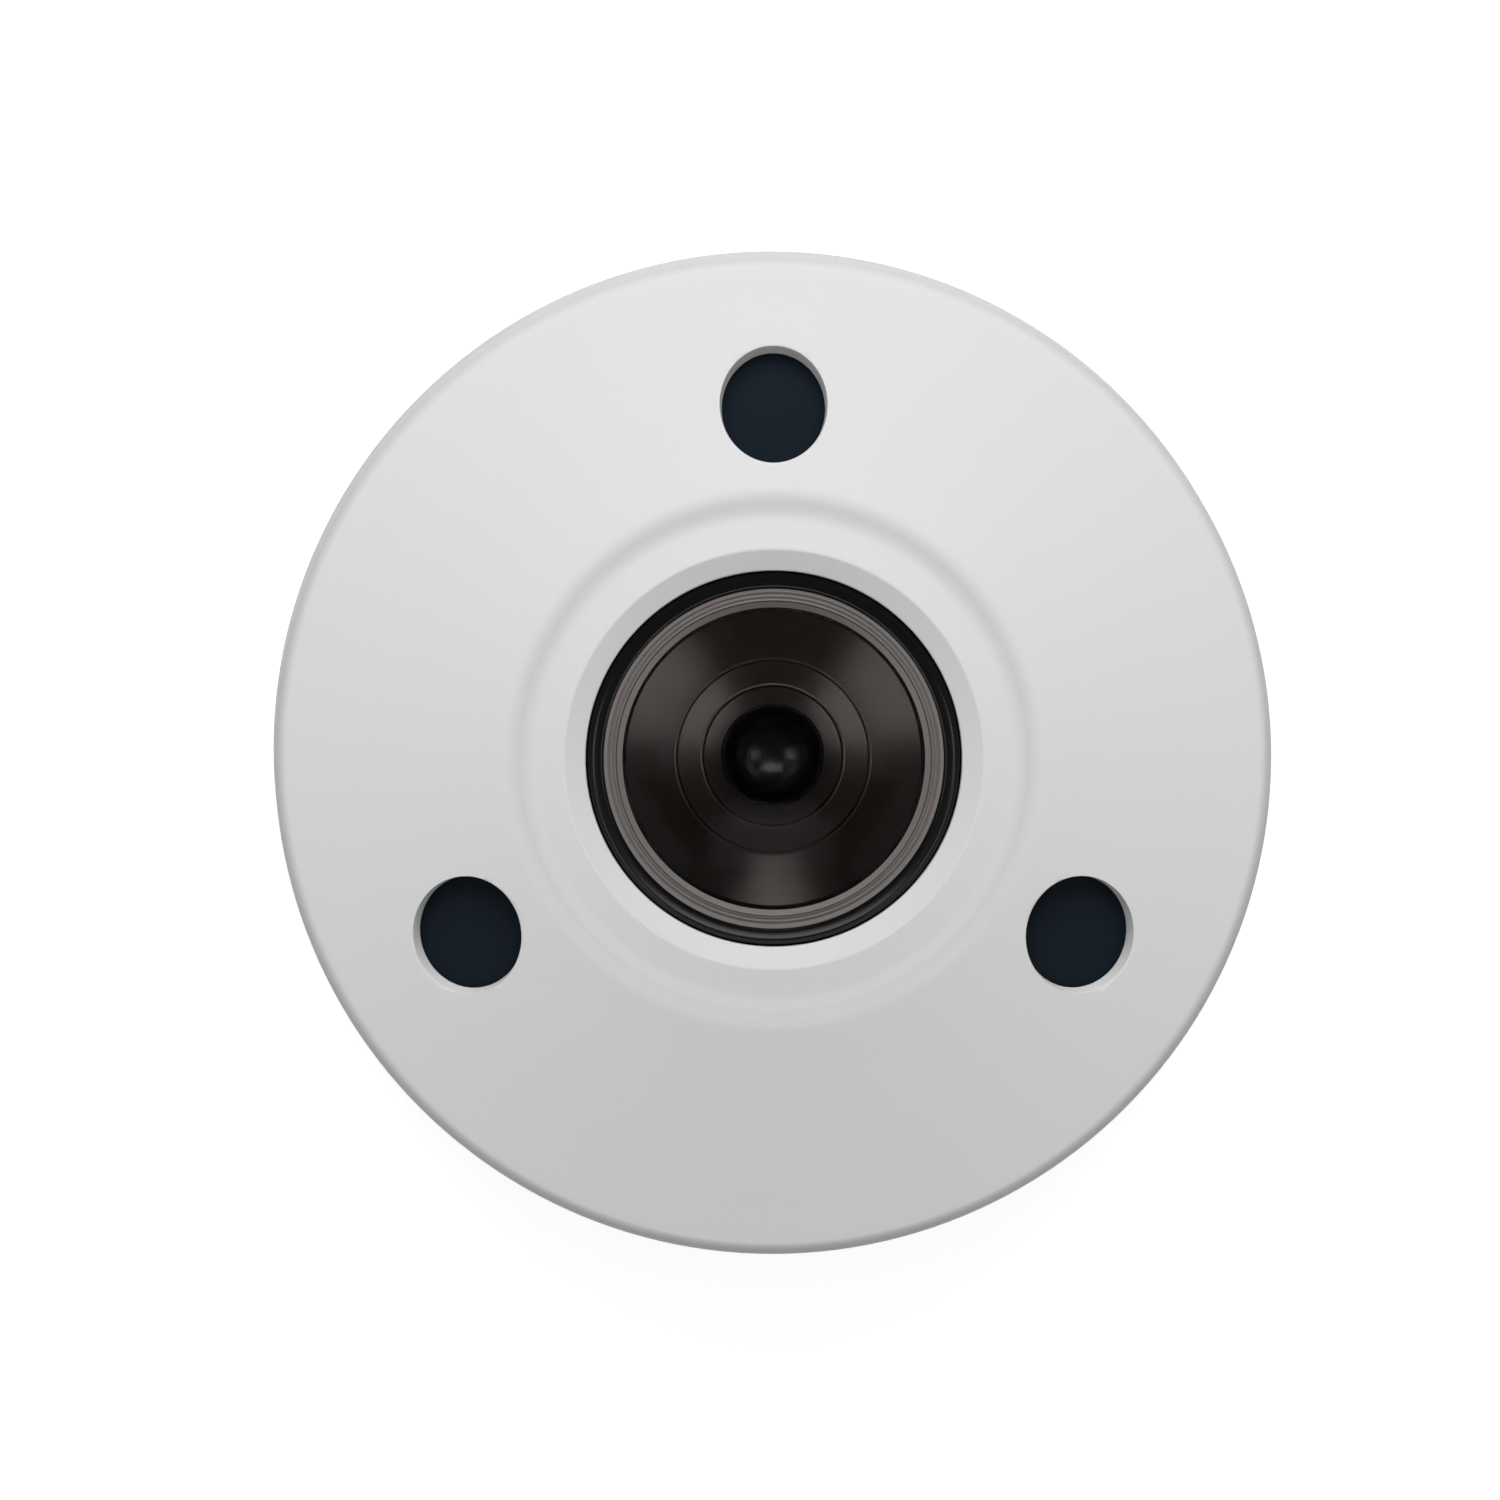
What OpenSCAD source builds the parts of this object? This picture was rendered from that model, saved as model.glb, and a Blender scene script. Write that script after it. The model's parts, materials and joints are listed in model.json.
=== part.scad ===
// Fisheye network camera for a ceiling: a shallow white cover with three infrared windows round one
// wide lens, on a round mounting plate that the camera twists on to.
// Millimetres. The back of the plate lies on z = 0, the lens looks along +Z, and the top window is at +Y.

/* [Overall] */
// Diameter of the cover at its lower edge
body_d = 119.9; // [116:0.1:126]
// Height from the ceiling to the crown of the front glass
body_h = 41.2; // [40:0.1:46]

/* [Front cover] */
// Thickness of the cover's face
cover_wall = 2; // [1.6:0.1:2.6]
// Slope of the cover's main face, in degrees
face_slope = 15; // [13:0.5:16]
// Slope of the raised ring round the lens, in degrees
ring_slope = 12; // [8:0.5:14]
// Radius where the main face starts, outside the step
step_outer_r = 31.5; // [30.8:0.1:33]
// Radius of the valley of the step
step_inner_r = 28.8; // [27.5:0.1:29.4]
// Radius of the raised ring's crest
crest_r = 24.9; // [24:0.1:26]
// Radius of the lens opening in the cover
opening_r = 22.3; // [21.8:0.1:23]
// How far the front glass stands above the crest
glass_proud = 2.9; // [2:0.1:4]
// Fall of the bevel from the crest to the opening
bevel_fall = 0.9; // [0.5:0.1:1.5]
// Depth of the neck inside the opening
neck_depth = 2.8; // [2.2:0.1:3.2]
// Inward lean of the skirt over its height
skirt_draft = 0.65; // [0.2:0.05:1.2]
// Fillet between the face and the skirt
shoulder_fillet = 1.9; // [0.8:0.1:3]
// Gap between the ceiling and the skirt
skirt_gap = 1; // [0.5:0.1:1.6]

/* [Infrared windows] */
// Distance of the windows from the lens axis
window_place_r = 42; // [40.5:0.1:43]
// Diameter of a window's recess at its floor
recess_d = 12.6; // [11:0.1:13]
// Depth of the recess, square to the face
recess_depth = 2.4; // [1.8:0.1:2.8]
// Thickness of a window
window_t = 1.5; // [1:0.1:1.8]
// Width of the ledge that a window sits on
window_ledge = 0.8; // [0.5:0.1:1]
// Side of an infrared diode's package
diode_side = 3.5; // [2.5:0.1:4]
// Outer radius of a diode's reflector cup
cup_r = 5.2; // [4.6:0.1:5.4]

/* [Lens] */
// Width of the black rim round the ridged ring
rim_w = 1.85; // [1.4:0.05:2.1]
// Free radius of the front glass
glass_free_r = 18.7; // [17.8:0.1:18.8]
// Rise of the front glass from its free edge to its crown
glass_rise = 5.2; // [4.2:0.1:5.6]
// Thickness of the front glass at its crown
glass_t = 1.9; // [1.4:0.1:2.4]
// Radius of the threaded end of the barrel
thread_r = 9.5; // [9:0.1:10.4]
// Radius of the lens elements behind the baffle
element_r = 7.5; // [6.8:0.1:8]
// Radius of the baffle's first ring line
first_line_r = 11.4; // [10.8:0.1:12]
// Radius of the baffle's second ring line
second_line_r = 8.3; // [7.8:0.1:9]
// Radius of the hole in the aperture stop
stop_r = 1.4; // [0.8:0.1:2]

/* [Filter switch] */
// Side of each square filter glass
filter_side = 6.8; // [6:0.1:7]
// Thickness of a filter glass
filter_t = 0.5; // [0.3:0.05:0.7]
// Thickness of the sliding carriage
carriage_t = 1.2; // [1:0.1:1.3]
// Radius of the lever's magnet
magnet_r = 2.2; // [1.8:0.1:2.3]

/* [Boards] */
// Thickness of the main board
board_t = 1.6; // [1.2:0.1:2]
// Radius of the main board
main_board_r = 46.4; // [45:0.1:46.6]
// Width of the processor
processor_side = 17; // [13:0.5:18]
// Width of the image sensor's package
sensor_side = 12; // [10:0.1:13]
// Radius of the backup battery
battery_r = 6.2; // [4.8:0.1:6.4]

/* [Connector bay] */
// Width of the network jack
jack_w = 16; // [15.5:0.1:16.4]
// Length of the network jack
jack_l = 21; // [18:0.1:21.5]
// Height of the network jack
jack_h = 12; // [11.6:0.1:12.6]
// Width of the network socket
socket_w = 11.8; // [11.6:0.1:12.2]
// Height of the network socket
socket_h = 6.8; // [6.6:0.1:7.2]
// Width of a memory card
card_w = 11; // [10:0.1:11.2]
// Length of a memory card
card_l = 15; // [13.5:0.1:15.4]
// Number of ways in the terminal block
terminal_ways = 4; // [2:1:4]

/* [Mounting plate] */
// Height of the plate
plate_h = 4; // [3.8:0.1:4.4]
// Thickness of the lip over the stud pockets
lip_t = 1.6; // [1.4:0.1:1.8]
// Diameter of the circle of the four fixing holes
fixing_circle_d = 83.5; // [80:0.5:84.5]
// Distance between the two holes for a small box
pair_pitch = 60; // [52:0.5:62]
// Radius of a fixing hole
fixing_hole_r = 2.25; // [1.8:0.05:2.4]
// Radius of the cable hole
cable_hole_r = 10; // [8:0.5:10.5]
// Twist from locked to free, in degrees
twist_deg = 20; // [15:1:21]

/* [Fits] */
// Gap between the plate and the turning camera
plate_gap = 0.4; // [0.3:0.05:0.6]
// Gap at each side between the cover and the rear housing
cover_fit = 0.15; // [0.1:0.05:0.25]
// Gap at each side of pieces that are set in a seat
seat_fit = 0.05; // [0.03:0.01:0.1]
// Gap at each side of a sliding piece
slide_fit = 0.2; // [0.15:0.05:0.25]
// Gap at each side of a turning pin
pin_fit = 0.05; // [0.03:0.01:0.08]

/* [Hidden] */
$fn = 96;

overrun = 1;
arc_steps = 8;
body_r = body_d / 2;

// Mounting plate and its studs
plate_rim_gap = 0.4;
stud_inset = 6.9;
stud_angle = 10;
stud_shank_r = 1.5;
stud_head_r = 3;
stud_head_h = 1.2;
stud_thread_l = 4;
stud_head_gap = 0.3;
slot_gap = 0.4;
entry_gap = 0.6;
cable_hole_x = 10;
cable_hole_y = -32;
cable_collar_w = 1.6;
fixing_angle = 45;
fixing_boss_w = 1.9;
fixing_head_share = 1.85;
fixing_floor_t = 1.6;
dish_r_share = 0.8;
dish_floor_t = 2;
plate_chamfer = 0.8;

// Rear housing levels, from the plate up
floor_t = 1.8;
housing_wall = 2.4;
bay_wall = 1.5;
bay_roof_t = 1.2;
board_lift = 0.3;
back_z = plate_h + plate_gap;
floor_z = back_z + floor_t;
main_z = floor_z + board_lift + jack_h;
main_top_z = main_z + board_t;
bay_roof_z = main_z - board_lift - bay_roof_t;
screw_r = 1.25;
screw_head_r = 2.4;
screw_head_h = 1.4;
screw_bite = 4;
screw_end_gap = 1;

// Cover levels, from the crown down
crest_z = body_h - glass_proud;
valley_z = crest_z - (step_inner_r - crest_r) * tan(ring_slope);
step_slope = 2.5;
step_z = valley_z + (step_outer_r - step_inner_r) * tan(step_slope);
opening_z = crest_z - bevel_fall;
neck_z = opening_z - neck_depth;
shoulder_r = body_r - skirt_draft;
cover_inner_r = shoulder_r - cover_wall;
face_drop = cover_wall / cos(face_slope);
crest_round = 0.6;
step_round = 5;
opening_round = 0.25;
skirt_round = 0.4;
seal_land_w = 3.6;
housing_r = cover_inner_r - cover_fit;
housing_inner_r = housing_r - housing_wall;
plate_r = cover_inner_r - plate_rim_gap;
stud_place_r = plate_r - stud_inset;
function face_z(r) = step_z - (r - step_outer_r) * tan(face_slope);

// Window places and levels
window_angles = [90, 210, 330];
recess_flare = 0.3;
recess_edge = 0.45;
boss_wall = 1.2;
window_seal_t = 0.3;
boss_reach = 0.9;
window_r = recess_d / 2 + window_ledge;
window_seat_r = window_r + seat_fit;
window_boss_r = window_seat_r + boss_wall;
window_back = recess_depth + window_seal_t + window_t;
boss_depth = window_back + boss_reach;
ir_board_t = 1.4;
ir_board_inner_r = 27;
diode_h = 0.9;
diode_dome_r = 1.4;
cup_h = 3;
cup_gap = 0.3;
cup_throat_gap = 0.35;
cup_wall = 0.5;
diode_place_r = window_place_r - window_back * sin(face_slope);
window_back_z = face_z(window_place_r) - window_back * cos(face_slope);
ir_top_z = window_back_z - cup_r * tan(face_slope) - cup_gap - cup_h;
ir_z = ir_top_z - ir_board_t;

// Cover posts and boards' posts
post_inset = 4.25;
post_place_r = housing_inner_r - post_inset;
post_angle = 30;
post_r = 3.2;
post_split_share = 0.5;
housing_rim_gap = 0.5;
housing_top_z = ir_z - housing_rim_gap;
post_split_z = floor_z + (housing_top_z - floor_z) * post_split_share;
ir_post_inset = 9;
ir_post_place_r = ir_board_inner_r + ir_post_inset;
ir_post_r = 2.4;
main_post_inset = 4.4;
main_post_angles = [20, 140, 200];
main_post_r = 2.8;
main_post_place_r = main_board_r - main_post_inset;
seal_r = 0.7;
seal_groove_gap = 0.05;
seal_drop = 3;

// Lens levels, from the crown down
lens_gap = 0.25;
lip_drop = 0.2;
lip_round = 0.75;
ring_fit = 0.05;
glass_hold_w = 0.6;
glass_seal_t = 0.35;
glass_seat_w = 1.8;
glass_edge_t = 1.1;
ring_lift = 0.15;
ridge_count = 3;
barrel_r = opening_r - lens_gap;
lip_z = opening_z - lip_drop;
ring_r = barrel_r - rim_w;
glass_r = glass_free_r + glass_hold_w;
glass_sphere_r = (glass_free_r * glass_free_r + glass_rise * glass_rise) / (2 * glass_rise);
glass_free_z = body_h - glass_rise;
glass_rim_z = body_h - glass_sphere_r + sqrt(glass_sphere_r * glass_sphere_r - glass_r * glass_r);
glass_base_z = glass_rim_z - glass_edge_t;
glass_seat_r = glass_r - glass_seat_w;
glass_hollow_z = body_h - glass_t;
glass_hollow_rise = glass_hollow_z - glass_base_z;
glass_hollow_r = (glass_seat_r * glass_seat_r + glass_hollow_rise * glass_hollow_rise)
    / (2 * glass_hollow_rise);
seat_z = glass_base_z - glass_seal_t;
lens_seal_t = 1.2;
flange_t = 1.5;
flange_r = opening_r + seal_land_w - lens_gap;
flange_z = neck_z - lens_seal_t;
baffle_top_r = glass_seat_r - seat_fit;
baffle_throat_r = 5.9;
band_fall = 1.4;
baffle_slope = 38;
line_step = 0.5;
baffle_first_z = seat_z - (baffle_top_r - first_line_r) * tan(baffle_slope);
baffle_second_z = baffle_first_z - line_step - band_fall;
baffle_throat_z = baffle_second_z - line_step - band_fall;
baffle_foot_t = 0.8;
baffle_foot_z = baffle_throat_z - baffle_foot_t;
baffle_foot_r = 9;
shoulder_t = 1.2;
element_top_z = baffle_foot_z - shoulder_t;
element_bore_r = element_r + seat_fit;
waist_r = 13;
waist_gap = 0.5;
barrel_wall = 2;

// Sensor stack, from the housing floor up
sensor_post_h = 2;
sensor_board_t = 1.2;
sensor_h = 1.3;
sensor_glass_t = 0.5;
sensor_glass_share = 0.8;
sensor_board_z = floor_z + sensor_post_h;
sensor_z = sensor_board_z + sensor_board_t;
sensor_board_x = 19.2;
sensor_board_back_y = 17.5;
sensor_board_front_y = -12.4;
sensor_hole_inset = 2.2;
sensor_post_r = 2;
channel_floor_t = 0.4;
sensor_air = 0.4;
channel_z = sensor_z + sensor_h + sensor_glass_t + sensor_air + channel_floor_t;
channel_h = carriage_t + 2 * slide_fit;
arm_z = channel_z + channel_h + slide_fit;
arm_t = 0.8;
arm_pocket_h = arm_t + 2 * slide_fit;
holder_roof_t = 0.5;
holder_top_z = arm_z + arm_t + slide_fit + holder_roof_t;
barrel_z = holder_top_z;
holder_x = 14.2;
holder_front_y = -9.4;
holder_back_y = 16;
holder_tube_wall = 2.4;
holder_tube_r = thread_r + pin_fit + holder_tube_wall;
main_hole_gap = 2;
main_hole_r = holder_tube_r + main_hole_gap;
waist_z = element_top_z - shoulder_t;
holder_tube_z = waist_z - waist_gap;

// Lens elements inside the barrel, from the shoulder down
element_shares = [0, 0.28, 0.4, 0.62, 0.66, 0.86];
lens_face_share = 0.75;
lens_rise_share = 0.32;
lens_hollow_share = 0.25;
function element_z(i) = element_top_z - (element_top_z - barrel_z) * element_shares[i];

// Filter carriage and lever
carriage_rib = 0.6;
carriage_pitch = filter_side + carriage_rib;
carriage_w = filter_side + 3 * carriage_rib;
carriage_l = 2 * filter_side + 3 * carriage_rib;
filter_ledge = 0.4;
drive_pin_r = 0.55;
drive_tab_l = 2.9;
drive_wall = 0.5;
lever_swing = 30;
lever_l = carriage_pitch / 2 / sin(lever_swing);
drive_y = carriage_w / 2 + drive_tab_l - drive_wall - drive_pin_r - slide_fit;
drive_slot_l = lever_l * (1 - cos(lever_swing)) + 2 * (drive_pin_r + slide_fit);
pivot_y = drive_y + lever_l * cos(lever_swing);
pivot_r = 0.7;
arm_w = 1.5;
carriage_z = channel_z + slide_fit;
light_r = 4.2;
coil_r = 1.9;
coil_l = 7.5;
coil_gap = 0.3;
coil_core_r = 0.8;
coil_core_proud = 0.3;

// Connector bay
bay_left_x = -12;
bay_right_x = 30;
bay_front_y = -44;
bay_back_y = -15;
bay_corner_r = 3;
jack_y = -41;
jack_opening_gap = 0.2;
socket_l = 14;
socket_rise_share = 0.46;
latch_w = 6.2;
latch_h = 1.6;
contact_count = 8;
contact_w = 0.35;
contact_t = 0.3;
contact_l = 9;
contact_pitch = 1.02;
power_y = -24;
power_w = 8.6;
power_l = 13;
power_h = 9;
power_bore_r = 3.1;
power_pin_r = 1;
power_bore_l = 9;
power_pin_back = 0.6;
power_pin_root = 1;
terminal_pitch = 3.5;
terminal_d = 7;
terminal_h = 9;
terminal_x = 13;
terminal_wire_w = 2.2;
terminal_wire_h = 2.4;
terminal_wire_lift = 1.2;
terminal_screw_r = 1.3;
terminal_screw_drop = 0.6;
terminal_screw_h = 2.6;
screw_slot_w = 0.35;
terminal_end_w = 0.4;
card_t = 1;
card_socket_x = 15.6;
card_socket_l = 13.6;
card_socket_wall = 1;
card_socket_h = 2;
card_proud = 1.6;
card_slot_t = card_t + 2 * slide_fit;
card_grip_t = 0.35;
card_grip_w = 0.8;
finger_gap = 2;
reset_x = 8;
reset_y = -41.2;
reset_switch_side = 4.4;
reset_switch_h = 1.6;
reset_bore_l = 1.2;
reset_cap_r = 1.5;
reset_cap_h = 1.4;
reset_stem_r = 0.8;
reset_stem_l = 0.7;
reset_gap = 0.3;
cutout_gap = 0.3;
terminal_w = terminal_ways * terminal_pitch + 2 * terminal_end_w;
terminal_y = bay_front_y + cutout_gap;
card_x = card_socket_x + card_socket_wall + slide_fit;
card_z = main_z - (card_socket_h + card_t) / 2;

// Pieces on the main board
processor_at_share = [-0.3, 0.58];
processor_h = 1.5;
heat_pad_t = 1;
heat_pad_side_share = 0.85;
memory_at_share = [0.1, 0.6];
memory_pitch_share = 0.29;
memory_w = 9;
memory_d = 12;
memory_h = 1.1;
transformer_side = 12;
transformer_y_share = 0.14;
transformer_post_gap = 0.3;
transformer_x = main_post_place_r * cos(main_post_angles[0]) - main_post_r - transformer_post_gap
    - transformer_side / 2;
transformer_core_side = 8;
transformer_h = 8;
transformer_flange_t = 1.4;
capacitor_at_share = [[-0.64, 0.0], [-0.64, 0.2], [0.46, 0.34]];
capacitor_r = 3.1;
capacitor_can_r = 2.7;
capacitor_h = 7.5;
capacitor_foot_h = 0.7;
battery_at_share = [-0.38, -0.52];
battery_h = 2;
clip_t = 0.4;
clip_w = 5;
clip_foot = 2;
header_at_share = [0.72, 0.06];
header_w = 4;
header_l = 10;
ribbon_w = 11;
ribbon_t = 0.3;
ribbon_socket_w = 13;
ribbon_socket_d = 3;
ribbon_socket_h = 1.2;
ribbon_bulge = 1.4;
ribbon_reach = 5;

function unit(v) = v / norm(v);

// Arc of radius r that rounds the corner b between a and c
function corner(a, b, c, r) =
    let (u = unit(a - b), v = unit(c - b), half = acos(u * v) / 2, m = b + unit(u + v) * r / sin(half))
    let (p = b + u * r / tan(half) - m, q = b + v * r / tan(half) - m)
    let (first = atan2(p.y, p.x), turn = (atan2(q.y, q.x) - first + 540) % 360 - 180)
    [for (i = [0:arc_steps]) m + r * [cos(first + turn * i / arc_steps), sin(first + turn * i / arc_steps)]];

// Outline whose corners are rounded, each by its own radius
function rounded(points, radii) =
    let (n = len(points))
    [for (i = [0:n - 1])
        let (before = points[(i + n - 1) % n], after = points[(i + 1) % n])
        each radii[i] > 0 ? corner(before, points[i], after, radii[i]) : [points[i]]];

// Arc of a sphere's section, from radius r0 to r1, below its crown at z
function cap(sphere_r, crown_z, r0, r1) =
    [for (i = [0:arc_steps * 2])
        let (r = r0 + (r1 - r0) * i / (arc_steps * 2))
        [r, crown_z - sphere_r + sqrt(sphere_r * sphere_r - r * r)]];

module turned(points) {
    rotate_extrude() polygon(points);
}

module ring(inner_r, outer_r, h) {
    rotate_extrude() translate([inner_r, 0]) square([outer_r - inner_r, h]);
}

module three(first) {
    for (i = [0:2]) rotate([0, 0, first + i * 120]) children();
}

module rounded_slab(x0, y0, x1, y1, r, h) {
    linear_extrude(h) {
        translate([x0 + r, y0]) square([x1 - x0 - 2 * r, y1 - y0]);
        translate([x0, y0 + r]) square([x1 - x0, y1 - y0 - 2 * r]);
        for (x = [x0 + r, x1 - r], y = [y0 + r, y1 - r]) translate([x, y]) circle(r);
    }
}

// Slab centred on x and y, standing on z = 0
module slab(x, y, h) {
    translate([-x / 2, -y / 2, 0]) cube([x, y, h]);
}

// Machine screw along +Z with its head below z = 0
module screw(length) {
    translate([0, 0, -screw_head_h]) cylinder(r = screw_head_r, h = screw_head_h);
    cylinder(r = screw_r, h = length);
}

// Places a child at a window, with +Z out of the face and z = 0 on it
module at_window(i) {
    rotate([0, 0, window_angles[i]]) translate([window_place_r, 0, face_z(window_place_r)])
        rotate([0, face_slope, 0]) children();
}

module at_board_share(share) {
    translate([share.x * main_board_r, share.y * main_board_r, 0]) children();
}

module stud_slot_shape(half_w, end_r) {
    height = plate_h + 2 * overrun;
    rotate([0, 0, stud_angle]) {
        rotate_extrude(angle = twist_deg) translate([stud_place_r - half_w, 0]) square([2 * half_w, height]);
        translate([stud_place_r, 0, 0]) cylinder(r = half_w, h = height);
        rotate([0, 0, twist_deg]) translate([stud_place_r, 0, 0]) cylinder(r = end_r, h = height);
    }
}

module at_fixings() {
    for (i = [0:3]) rotate([0, 0, fixing_angle + i * 90]) translate([fixing_circle_d / 2, 0, 0]) children();
    for (side = [-1, 1]) translate([side * pair_pitch / 2, 0, 0]) children();
}

module mounting_plate() {
    fixing_head_r = fixing_hole_r * fixing_head_share;
    dish_r = plate_r * dish_r_share;
    color("gainsboro") difference() {
        turned([[0, 0], [plate_r, 0], [plate_r, plate_h - plate_chamfer],
            [plate_r - plate_chamfer, plate_h], [0, plate_h]]);
        difference() {
            translate([0, 0, dish_floor_t]) cylinder(r = dish_r, h = plate_h);
            at_fixings() cylinder(r = fixing_head_r + fixing_boss_w, h = 2 * plate_h);
            translate([cable_hole_x, cable_hole_y, 0])
                cylinder(r = cable_hole_r + cable_collar_w, h = 2 * plate_h);
        }
        at_fixings() {
            translate([0, 0, -overrun]) cylinder(r = fixing_hole_r, h = plate_h + 2 * overrun);
            translate([0, 0, fixing_floor_t]) cylinder(r = fixing_head_r, h = plate_h);
        }
        translate([cable_hole_x, cable_hole_y, -overrun])
            cylinder(r = cable_hole_r, h = plate_h + 2 * overrun);
        three(0) {
            translate([0, 0, -overrun]) stud_slot_shape(stud_shank_r + slot_gap, stud_head_r + entry_gap);
            translate([0, 0, -overrun - lip_t])
                stud_slot_shape(stud_head_r + slot_gap, stud_head_r + entry_gap);
        }
    }
}

module bayonet_studs() {
    head_z = plate_h - lip_t - stud_head_gap - stud_head_h;
    color("silver") three(stud_angle) translate([stud_place_r, 0, 0]) {
        translate([0, 0, head_z]) cylinder(r = stud_head_r, h = stud_head_h);
        translate([0, 0, head_z]) cylinder(r = stud_shank_r, h = back_z + stud_thread_l - head_z);
    }
}

module bay_shape(grow, z0, z1) {
    translate([0, 0, z0])
        rounded_slab(bay_left_x - grow, bay_front_y - grow, bay_right_x + grow, bay_back_y + grow,
            bay_corner_r + grow, z1 - z0);
}

module at_sensor_screws() {
    for (x = [-1, 1] * (sensor_board_x - sensor_hole_inset),
        y = [sensor_board_front_y + sensor_hole_inset, sensor_board_back_y - sensor_hole_inset])
        translate([x, y, 0]) children();
}

module at_main_screws() {
    for (a = main_post_angles) rotate([0, 0, a]) translate([main_post_place_r, 0, 0]) children();
}

module rear_housing() {
    groove_z = housing_top_z - seal_drop;
    groove_half = seal_r + seal_groove_gap;
    pad_side = processor_side * heat_pad_side_share;
    root_z = back_z + floor_t / 2;
    color("dimgray") difference() {
        union() {
            turned([[0, back_z], [housing_r, back_z], [housing_r, housing_top_z],
                [housing_inner_r, housing_top_z],
                [housing_inner_r, floor_z], [0, floor_z]]);
            bay_shape(bay_wall, root_z, bay_roof_z + bay_roof_t);
            three(post_angle) translate([post_place_r, 0, root_z])
                cylinder(r = post_r, h = post_split_z - root_z);
            three(stud_angle) translate([stud_place_r, 0, root_z])
                cylinder(r = stud_shank_r + bay_wall, h = back_z + stud_thread_l + bay_wall - root_z);
            at_main_screws() translate([0, 0, root_z]) cylinder(r = main_post_r, h = main_z - root_z);
            at_sensor_screws() translate([0, 0, root_z])
                cylinder(r = sensor_post_r, h = sensor_board_z - root_z);
            at_board_share(processor_at_share) translate([0, 0, root_z])
                slab(pad_side, pad_side, main_z - processor_h - heat_pad_t - root_z);
        }
        bay_shape(0, back_z - overrun, bay_roof_z);
        translate([bay_left_x - bay_wall - overrun, jack_y - jack_opening_gap, floor_z])
            cube([bay_wall + 2 * overrun, jack_w + 2 * jack_opening_gap, jack_h]);
        translate([bay_left_x - bay_wall - overrun, power_y - jack_opening_gap,
            main_z - power_h - jack_opening_gap])
            cube([bay_wall + 2 * overrun, power_w + 2 * jack_opening_gap, power_h]);
        translate([card_x - slide_fit, bay_back_y - overrun, card_z - slide_fit])
            cube([card_w + 2 * slide_fit, bay_wall + 2 * overrun, card_slot_t]);
        translate([card_x - finger_gap, bay_back_y - card_proud - card_l - slide_fit, bay_roof_z - overrun])
            cube([card_w + 2 * finger_gap, card_proud + card_l + slide_fit, bay_roof_t + 2 * overrun]);
        translate([terminal_x - cutout_gap, terminal_y - cutout_gap, bay_roof_z - overrun])
            cube([terminal_w + 2 * cutout_gap, terminal_d + 2 * cutout_gap, bay_roof_t + 2 * overrun]);
        translate([reset_x, reset_y, bay_roof_z - overrun])
            slab(reset_switch_side + 2 * cutout_gap, reset_switch_side + 2 * cutout_gap,
                bay_roof_t + 2 * overrun);
        translate([0, 0, groove_z - groove_half])
            ring(housing_r - 2 * groove_half, housing_r + overrun, 2 * groove_half);
        three(stud_angle) translate([stud_place_r, 0, back_z - overrun])
            cylinder(r = stud_shank_r + seat_fit, h = stud_thread_l + seat_fit + overrun);
        three(post_angle) translate([post_place_r, 0, back_z - overrun]) {
            cylinder(r = screw_r + seat_fit, h = post_split_z);
            cylinder(r = screw_head_r + seat_fit, h = screw_head_h + seat_fit + overrun);
        }
        at_main_screws() translate([0, 0, main_z - screw_bite]) cylinder(r = screw_r + seat_fit, h = body_h);
        at_sensor_screws() translate([0, 0, back_z + seat_fit]) cylinder(r = screw_r + seat_fit, h = body_h);
    }
}

module window_recess() {
    translate([0, 0, -recess_depth - overrun]) cylinder(r = recess_d / 2, h = recess_depth + 2 * overrun);
    translate([0, 0, -recess_depth])
        cylinder(r1 = recess_d / 2, r2 = recess_d / 2 + recess_flare, h = recess_depth);
    translate([0, 0, -recess_edge])
        cylinder(r1 = recess_d / 2 + recess_flare, r2 = recess_d / 2 + recess_flare + 2 * recess_edge,
            h = 2 * recess_edge);
    translate([0, 0, -boss_depth - overrun])
        cylinder(r = window_seat_r, h = boss_depth - recess_depth + overrun);
}

module front_cover() {
    profile = rounded(
        [[body_r, skirt_gap], [shoulder_r, face_z(shoulder_r)], [step_outer_r, step_z],
            [step_inner_r, valley_z],
        [crest_r, crest_z], [opening_r, opening_z], [opening_r, neck_z], [opening_r + seal_land_w, neck_z],
        [step_outer_r, step_z - face_drop], [cover_inner_r, face_z(cover_inner_r) - face_drop],
        [cover_inner_r, skirt_gap]],
        [skirt_round, shoulder_fillet, step_round, step_round, crest_round, opening_round, 0, 0, 0,
            cover_wall / 2, 0]);
    color("white") difference() {
        union() {
            turned(profile);
            for (i = [0:2]) intersection() {
                at_window(i) translate([0, 0, -boss_depth])
                    cylinder(r = window_boss_r, h = boss_depth - face_drop / 2);
                cylinder(r = cover_inner_r, h = body_h);
            }
            three(post_angle) {
                translate([post_place_r, 0, post_split_z])
                    cylinder(r = post_r, h = face_z(post_place_r + post_r) - face_drop / 2 - post_split_z);
                translate([ir_post_place_r, 0, ir_top_z])
                    cylinder(r = ir_post_r,
                        h = face_z(ir_post_place_r + ir_post_r) - face_drop / 2 - ir_top_z);
            }
        }
        for (i = [0:2]) at_window(i) window_recess();
        three(post_angle) {
            translate([post_place_r, 0, post_split_z - overrun])
                cylinder(r = screw_r + seat_fit, h = screw_bite + seat_fit + overrun);
            translate([ir_post_place_r, 0, ir_top_z - overrun])
                cylinder(r = screw_r + seat_fit, h = screw_bite + overrun);
        }
    }
}

module cover_seal() {
    color("black") translate([0, 0, housing_top_z - seal_drop])
        rotate_extrude() translate([housing_r - seal_r - seal_groove_gap, 0]) circle(seal_r, $fn = 32);
}

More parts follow.
